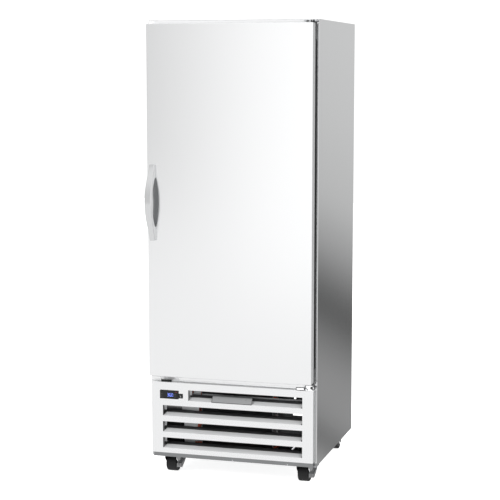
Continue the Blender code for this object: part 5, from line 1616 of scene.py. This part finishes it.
def caster(place, front):
    plate_low, plate_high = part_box(f"caster_plate_{place}")
    wheel_low, wheel_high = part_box(f"caster_wheel_{place}")
    swivel = joint_place(f"swivel_{place}")
    roll = joint_place(f"roll_{place}")
    fork_body, wheel_body = f"swivel_{place}", f"wheel_{place}"
    x, y = swivel[0], swivel[1]
    turn = math.copysign(1, roll[1] - y)
    radius = roll[2]

    # Mounting plate, raceway and bolts
    outline = soft_rectangle(plate_low.x, plate_low.y, plate_high.x, plate_high.y, 0.008, 5)
    prism_piece(
        f"caster_top_{place}", outline, "Z", plate_high.z - 0.003, plate_high.z, "zinc", "zinc",
        replaces=f"caster_plate_{place}", bevel=0.0007,
    )
    shape = bmesh.new()
    race = [
        (0, plate_low.z), (0.0150, plate_low.z), (0.0180, plate_low.z + 0.0004),
        (0.0215, plate_low.z + 0.0026), (0.0220, plate_low.z + 0.0055), (0.0200, plate_low.z + 0.0062),
        (0, plate_low.z + 0.0062),
    ]
    add_lathe(shape, race, (x, y, 0), "Z", 40)
    head = [(0, -0.0085), (0.0048, -0.0085), (0.0058, -0.0078), (0.0058, -0.0030), (0, -0.0030)]
    for dx in (-0.032, 0.032):
        for dy in (-0.036, 0.036):
            add_lathe(shape, head, (x + dx, y + dy, plate_high.z), "Z", 6)
    piece(f"caster_race_{place}", shape, "zinc", "zinc", bevel=0.0003, segments=2, angle=28)

    # Fork: dished crown and two pressed legs
    crown_high = plate_low.z - 0.0003
    leg_outer = 0.0262
    leg_inner = leg_outer - 0.0025
    ends = sorted((y - turn * 0.022, y + turn * 0.064))
    crown = soft_rectangle(x - leg_outer, ends[0], x + leg_outer, ends[1], 0.005, 5)
    # The crown is near black: painted shade under the cabinet
    prism_piece(
        f"caster_crown_{place}", crown, "Z", crown_high - 0.0034, crown_high, "fork_zinc", "zinc",
        body=fork_body, replaces=f"caster_fork_{place}", bevel=0.0010, segments=4,
    )
    outline = [
        (y - turn * 0.0215, crown_high - 0.0006), (y + turn * 0.0635, crown_high - 0.0006),
        (y + turn * 0.0635, crown_high - 0.0140), (y + turn * 0.0580, crown_high - 0.0210),
        (y + turn * 0.0440, radius + 0.0050), (y + turn * 0.0385, radius - 0.0060),
        (y + turn * 0.0345, radius - 0.0115), (y + turn * 0.0280, radius - 0.0140),
        (y + turn * 0.0220, radius - 0.0115), (y + turn * 0.0180, radius - 0.0040),
        (y - turn * 0.0080, radius + 0.0160), (y - turn * 0.0180, radius + 0.0300),
    ]
    # The left leg is near black and the right leg pale, both the same zinc: painted shade on the left,
    # painted light on the right
    for side, sign, look in (("left", -1, "fork_zinc"), ("right", 1, "leg_zinc")):
        shape = bmesh.new()
        edges = sorted((x + sign * leg_inner, x + sign * leg_outer))
        add_prism(shape, outline, "X", edges[0], edges[1])
        name = f"caster_leg_{side}_{place}"
        piece(name, shape, look, "zinc", fork_body, bevel=0.0008, segments=3)
    bolt = [
        (0, -leg_outer - 0.0034), (0.0060, -leg_outer - 0.0034), (0.0066, -leg_outer - 0.0026),
        (0.0066, -leg_outer), (0.0040, -leg_outer), (0.0040, leg_outer), (0.0064, leg_outer),
        (0.0064, leg_outer + 0.0026), (0.0058, leg_outer + 0.0034), (0, leg_outer + 0.0034),
    ]
    lathe_piece(
        f"caster_axle_{place}", bolt, roll, "X", 24, "dark_zinc", "zinc", body=fork_body, bevel=0.0002,
        segments=2, angle=50,
    )

    # Wheel: rubber tread on a moulded hub
    half = (wheel_high.x - wheel_low.x) / 2 + 0.0025
    profile = [
        (0.0250, half - 0.004), (0.0290, half - 0.0012), (radius - 0.0032, half - 0.0006),
        (radius - 0.0012, half - 0.0022), (radius - 0.0002, half - 0.0050), (radius, half - 0.0090),
    ]
    profile += [(r, -along) for r, along in reversed(profile)]
    lathe_piece(
        f"caster_tread_{place}", profile, roll, "X", 72, "rubber", "tread", closed=True, body=wheel_body,
        replaces=f"caster_wheel_{place}", angle=50,
    )
    profile = [
        (0.0043, half), (0.0095, half), (0.0110, half - 0.0010), (0.0120, half - 0.0055),
        (0.0210, half - 0.0070), (0.0235, half - 0.0030), (0.0252, half - 0.0038),
    ]
    profile += [(r, -along) for r, along in reversed(profile)]
    lathe_piece(
        f"caster_hub_{place}", profile, roll, "X", 60, "hub_grey", "tread", closed=True, body=wheel_body,
        angle=40,
    )

    if front:
        brake(place, leg_outer)


def brake(place, leg_outer):
    pin = joint_place(f"brake_{place}")
    inner = pin.x + leg_outer + 0.0006
    width, thick = 0.018, 0.0024
    heel = (pin.y + 0.012, pin.z - 0.001)
    knee = (pin.y - 0.038, pin.z - 0.009)
    toe = (pin.y - 0.058, pin.z - 0.014)
    lip = (pin.y - 0.056, pin.z - 0.031)
    run = rounded([heel, knee, toe, lip], 0.006, 5)
    under = []
    for index, point in enumerate(run):
        before = Vector(run[max(0, index - 1)])
        after = Vector(run[min(len(run) - 1, index + 1)])
        along = (after - before).normalized()
        under.append(tuple(Vector(point) + Vector((-along.y, along.x)) * thick))
    outline = [tuple(point) for point in run] + list(reversed(under))
    prism_piece(
        f"brake_pedal_{place}", outline, "X", inner, inner + width, "pedal_zinc", "zinc",
        body=f"brake_{place}", replaces=f"brake_lever_{place}", bevel=0.0005,
    )
    cheek = [
        heel,
        (pin.y + 0.006, pin.z - 0.008), (pin.y - 0.014, pin.z - 0.021), (pin.y - 0.040, pin.z - 0.034),
        lip,
        toe,
        knee,
    ]
    cheek = [tuple(point) for point in rounded(cheek, 0.003, 3, closed=True)]
    prism_piece(
        f"brake_cheek_{place}", cheek, "X", inner + width - 0.0022, inner + width, "pedal_zinc", "zinc",
        body=f"brake_{place}", bevel=0.0005,
    )

    # The gusset on the fork's front corner, above the pedal
    crown_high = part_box(f"caster_plate_{place}")[0].z - 0.0003
    middle = pin.x
    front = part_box(f"caster_fork_{place}")[0].y
    gusset = [
        (middle + 0.0200, crown_high), (middle + 0.0430, crown_high),
        (middle + 0.0405, crown_high - 0.0170), (middle + 0.0345, crown_high - 0.0200),
        (middle + 0.0290, crown_high - 0.0170), (middle + 0.0250, crown_high - 0.0080),
    ]
    prism_piece(
        f"brake_gusset_{place}", gusset, "Y", front - 0.0022, front - 0.0002, "pedal_zinc", "zinc",
        body=f"swivel_{place}", bevel=0.0006,
    )
    lathe_piece(
        f"brake_eye_{place}",
        [(0.0029, 0.0), (0.0062, 0.0), (0.0066, 0.0005), (0.0066, 0.0034), (0.0029, 0.0034)],
        (inner, pin.y, pin.z), "X", 28, "zinc", "zinc", closed=True, body=f"brake_{place}",
    )
    shape = bmesh.new()
    for rib in range(3):
        height = toe[1] - 0.0035 - 0.0045 * rib
        y = toe[0] - thick - 0.0002 + 0.0005 * rib
        add_tube(shape, [(inner + 0.003, y, height), (inner + width - 0.004, y, height)], 0.0008, 8)
    piece(f"brake_ribs_{place}", shape, "pedal_zinc", "zinc", f"brake_{place}")
    lathe_piece(
        f"brake_pin_{place}",
        [(0, -0.001), (0.0025, -0.001), (0.0025, 0.0050), (0.0040, 0.0052), (0.0036, 0.0066), (0, 0.0068)],
        (inner - 0.0006, pin.y, pin.z), "X", 20, "dark_zinc", "zinc", body=f"swivel_{place}",
    )


def rail_end():
    """A darker grey plate on the right panel's front return, painted shade beside the grille, and the base
    rail's front flange, carried across the right panel's foot.
    """
    low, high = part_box("side_panel_right")
    grille_low, grille_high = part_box("grille_panel")
    # A darker grey plate over the front return: painted shade beside the grille
    near = (grille_high.x + 0.0005, low.y - 0.0006, grille_low.z)
    face = (near, (high.x - 0.0032, low.y - 0.0001, grille_high.z - 0.003))
    box_piece("right_return_shade", [face], "edge_steel", "brushed_side", bevel=0.0001, segments=2)
    front = low.y - 0.0008
    flange = [
        ((high.x - 0.040, front, low.z + 0.0002), (high.x + 0.0004, low.y - 0.0001, low.z + 0.0135)),
        ((high.x + 0.0002, front, low.z + 0.0065), (high.x + 0.009, low.y + 0.0010, low.z + 0.0125)),
    ]
    box_piece("base_rail_end", flange, "rail_zinc", "galvanised", bevel=0.0003, segments=2)


def corner_tabs():
    """Small plates under the side panels' front corners."""
    for side, sign in SIDES:
        low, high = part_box(f"side_panel_{side}")
        edge = high.x if sign > 0 else low.x
        xs = sorted((edge - sign * 0.002, edge - sign * 0.045))
        tab = ((xs[0], low.y + 0.004, low.z - 0.0042), (xs[1], low.y + 0.036, low.z - 0.0004))
        box_piece(f"corner_tab_{side}", [tab], "zinc", "galvanised", bevel=0.0008)


# Studio


BAND_LOW, BAND_HIGH = -0.45, 0.20
BAND_SLANT = (0.17, 0.27, 0.030)
SIDE_BANDS = (
    (-0.45, 0.50), (-0.2640, 0.47), (-0.2575, 0.07), (-0.2530, 0.06), (-0.2470, 0.16), (-0.2375, 0.385),
    (-0.209, 0.363), (-0.186, 0.255), (-0.166, 0.085), (-0.152, 0.15), (-0.139, 0.29), (-0.119, 0.47),
    (-0.086, 0.65), (-0.018, 0.725), (0.022, 0.75), (0.20, 0.75),
)
FRONT_FADE = (-0.372, -0.260, 0.57, 1.16)
HORIZON = (-0.094, -0.086)
LOW_FRONT = (-0.20, -0.115)
FRONT_LOW = 0.925
OVERHEAD = 1.0


def world_light():
    """A pale studio: bright in front and above, with soft darker bands low behind the sides."""
    world = bpy.data.worlds.new("studio")
    bpy.context.scene.world = world
    world.use_nodes = True
    tree = world.node_tree
    tree.nodes.clear()
    out = tree.nodes.new("ShaderNodeOutputWorld")
    coords = tree.nodes.new("ShaderNodeTexCoord")
    axes = tree.nodes.new("ShaderNodeSeparateXYZ")
    tree.links.new(coords.outputs["Generated"], axes.inputs["Vector"])
    x, y, z = axes.outputs

    def combine(one, two, operation="ADD"):
        node = tree.nodes.new("ShaderNodeMath")
        node.operation = operation
        tree.links.new(one, node.inputs[0])
        tree.links.new(two, node.inputs[1])
        return node.outputs["Value"]

    # The bands lie a little aslant, as a room's walls do in a side panel
    start, stop, rise = BAND_SLANT
    slanted = combine(z, remap(tree, x, rise, -rise, start, stop))
    bands = tree.nodes.new("ShaderNodeValToRGB")
    tree.links.new(remap(tree, slanted, 0, 1, BAND_LOW, BAND_HIGH), bands.inputs["Fac"])
    ramp = bands.color_ramp
    ramp.interpolation = "EASE"
    stops = [
        ((level - BAND_LOW) / (BAND_HIGH - BAND_LOW), (tone, tone, tone, 1)) for level, tone in SIDE_BANDS
    ]
    ramp.elements[0].position, ramp.elements[0].color = stops[0]
    ramp.elements[1].position, ramp.elements[1].color = stops[-1]
    for position, color in stops[1:-1]:
        ramp.elements.new(position).color = color

    # The front fades to the left, and is even below the horizon
    start, stop, dark, bright = FRONT_FADE
    fade = remap(tree, x, dark, bright, start, stop)
    ground = remap(tree, z, FRONT_LOW, 0.0, *HORIZON)
    lifted = combine(fade, ground, "MAXIMUM")
    low_front = remap(tree, z, 0, 1, *LOW_FRONT, smooth=True)
    front = blend(tree, low_front, FRONT_LOW, lifted, "FLOAT")
    behind = remap(tree, y, 0, 1, 0.2, 0.6, smooth=True)
    around = blend(tree, behind, front, bands.outputs["Color"], "FLOAT")
    above = remap(tree, z, 0, 1, 0.25, 0.7, smooth=True)
    strength = blend(tree, above, around, OVERHEAD, "FLOAT")

    # The camera sees plain white; everything else sees the studio
    studio = tree.nodes.new("ShaderNodeBackground")
    studio.inputs["Color"].default_value = (1, 1, 1, 1)
    tree.links.new(strength, studio.inputs["Strength"])
    plain = tree.nodes.new("ShaderNodeBackground")
    plain.inputs["Color"].default_value = (1, 1, 1, 1)
    plain.inputs["Strength"].default_value = 1.1
    path = tree.nodes.new("ShaderNodeLightPath")
    choose = tree.nodes.new("ShaderNodeMixShader")
    tree.links.new(path.outputs["Is Camera Ray"], choose.inputs["Fac"])
    tree.links.new(studio.outputs["Background"], choose.inputs[1])
    tree.links.new(plain.outputs["Background"], choose.inputs[2])
    tree.links.new(choose.outputs["Shader"], out.inputs["Surface"])


def floor():
    mesh = bpy.data.meshes.new("studio_floor")
    half = 12.0
    mesh.from_pydata(
        [(-half, -half, 0), (half, -half, 0), (half, half, 0), (-half, half, 0)], [], [(0, 1, 2, 3)]
    )
    item = bpy.data.objects.new("studio_floor", mesh)
    bpy.context.scene.collection.objects.link(item)
    material, _, shader = new_material("studio_floor")
    shader.inputs["Base Color"].default_value = (0.9, 0.9, 0.9, 1)
    shader.inputs["Roughness"].default_value = 0.9
    shader.inputs["Specular IOR Level"].default_value = 0.0
    shader.inputs["Emission Color"].default_value = (1, 1, 1, 1)
    shader.inputs["Emission Strength"].default_value = 0.75
    mesh.materials.append(material)
    item.visible_glossy = False


def lamps():
    for name, place, size, energy in (
        ("key_softbox", (-2.6, -4.2, 3.6), 2.6, 150.0), ("fill_softbox", (3.6, -2.6, 3.0), 2.4, 70.0),
    ):
        light = bpy.data.lights.new(name, "AREA")
        light.shape = "SQUARE"
        light.size = size
        light.energy = energy
        item = bpy.data.objects.new(name, light)
        item.location = place
        aim = Vector((0, 0, 0.9)) - Vector(place)
        item.rotation_euler = aim.to_track_quat("-Z", "Y").to_euler()
        item.visible_glossy = False
        bpy.context.scene.collection.objects.link(item)


def camera():
    data = bpy.data.cameras.new("camera")
    data.lens = 103.2
    data.sensor_width = 36.0
    item = bpy.data.objects.new("camera", data)
    item.location = (1.6385, -5.6505, 1.6292)
    item.rotation_euler = (math.radians(82.969), 0, math.radians(16.241))
    bpy.context.scene.collection.objects.link(item)
    bpy.context.scene.camera = item
    bpy.context.scene.view_settings.view_transform = "Standard"


camera()
side_panels()
top_and_back()
door()
hinges()
grille()
nameplate()
controller()
power_switch()
lock_keeper()
cabinet_inside()
condensing_unit()
evaporator()
for place in ("front_left", "front_right", "rear_left", "rear_right"):
    caster(place, place.startswith("front"))
corner_tabs()
rail_end()
world_light()
floor()
lamps()
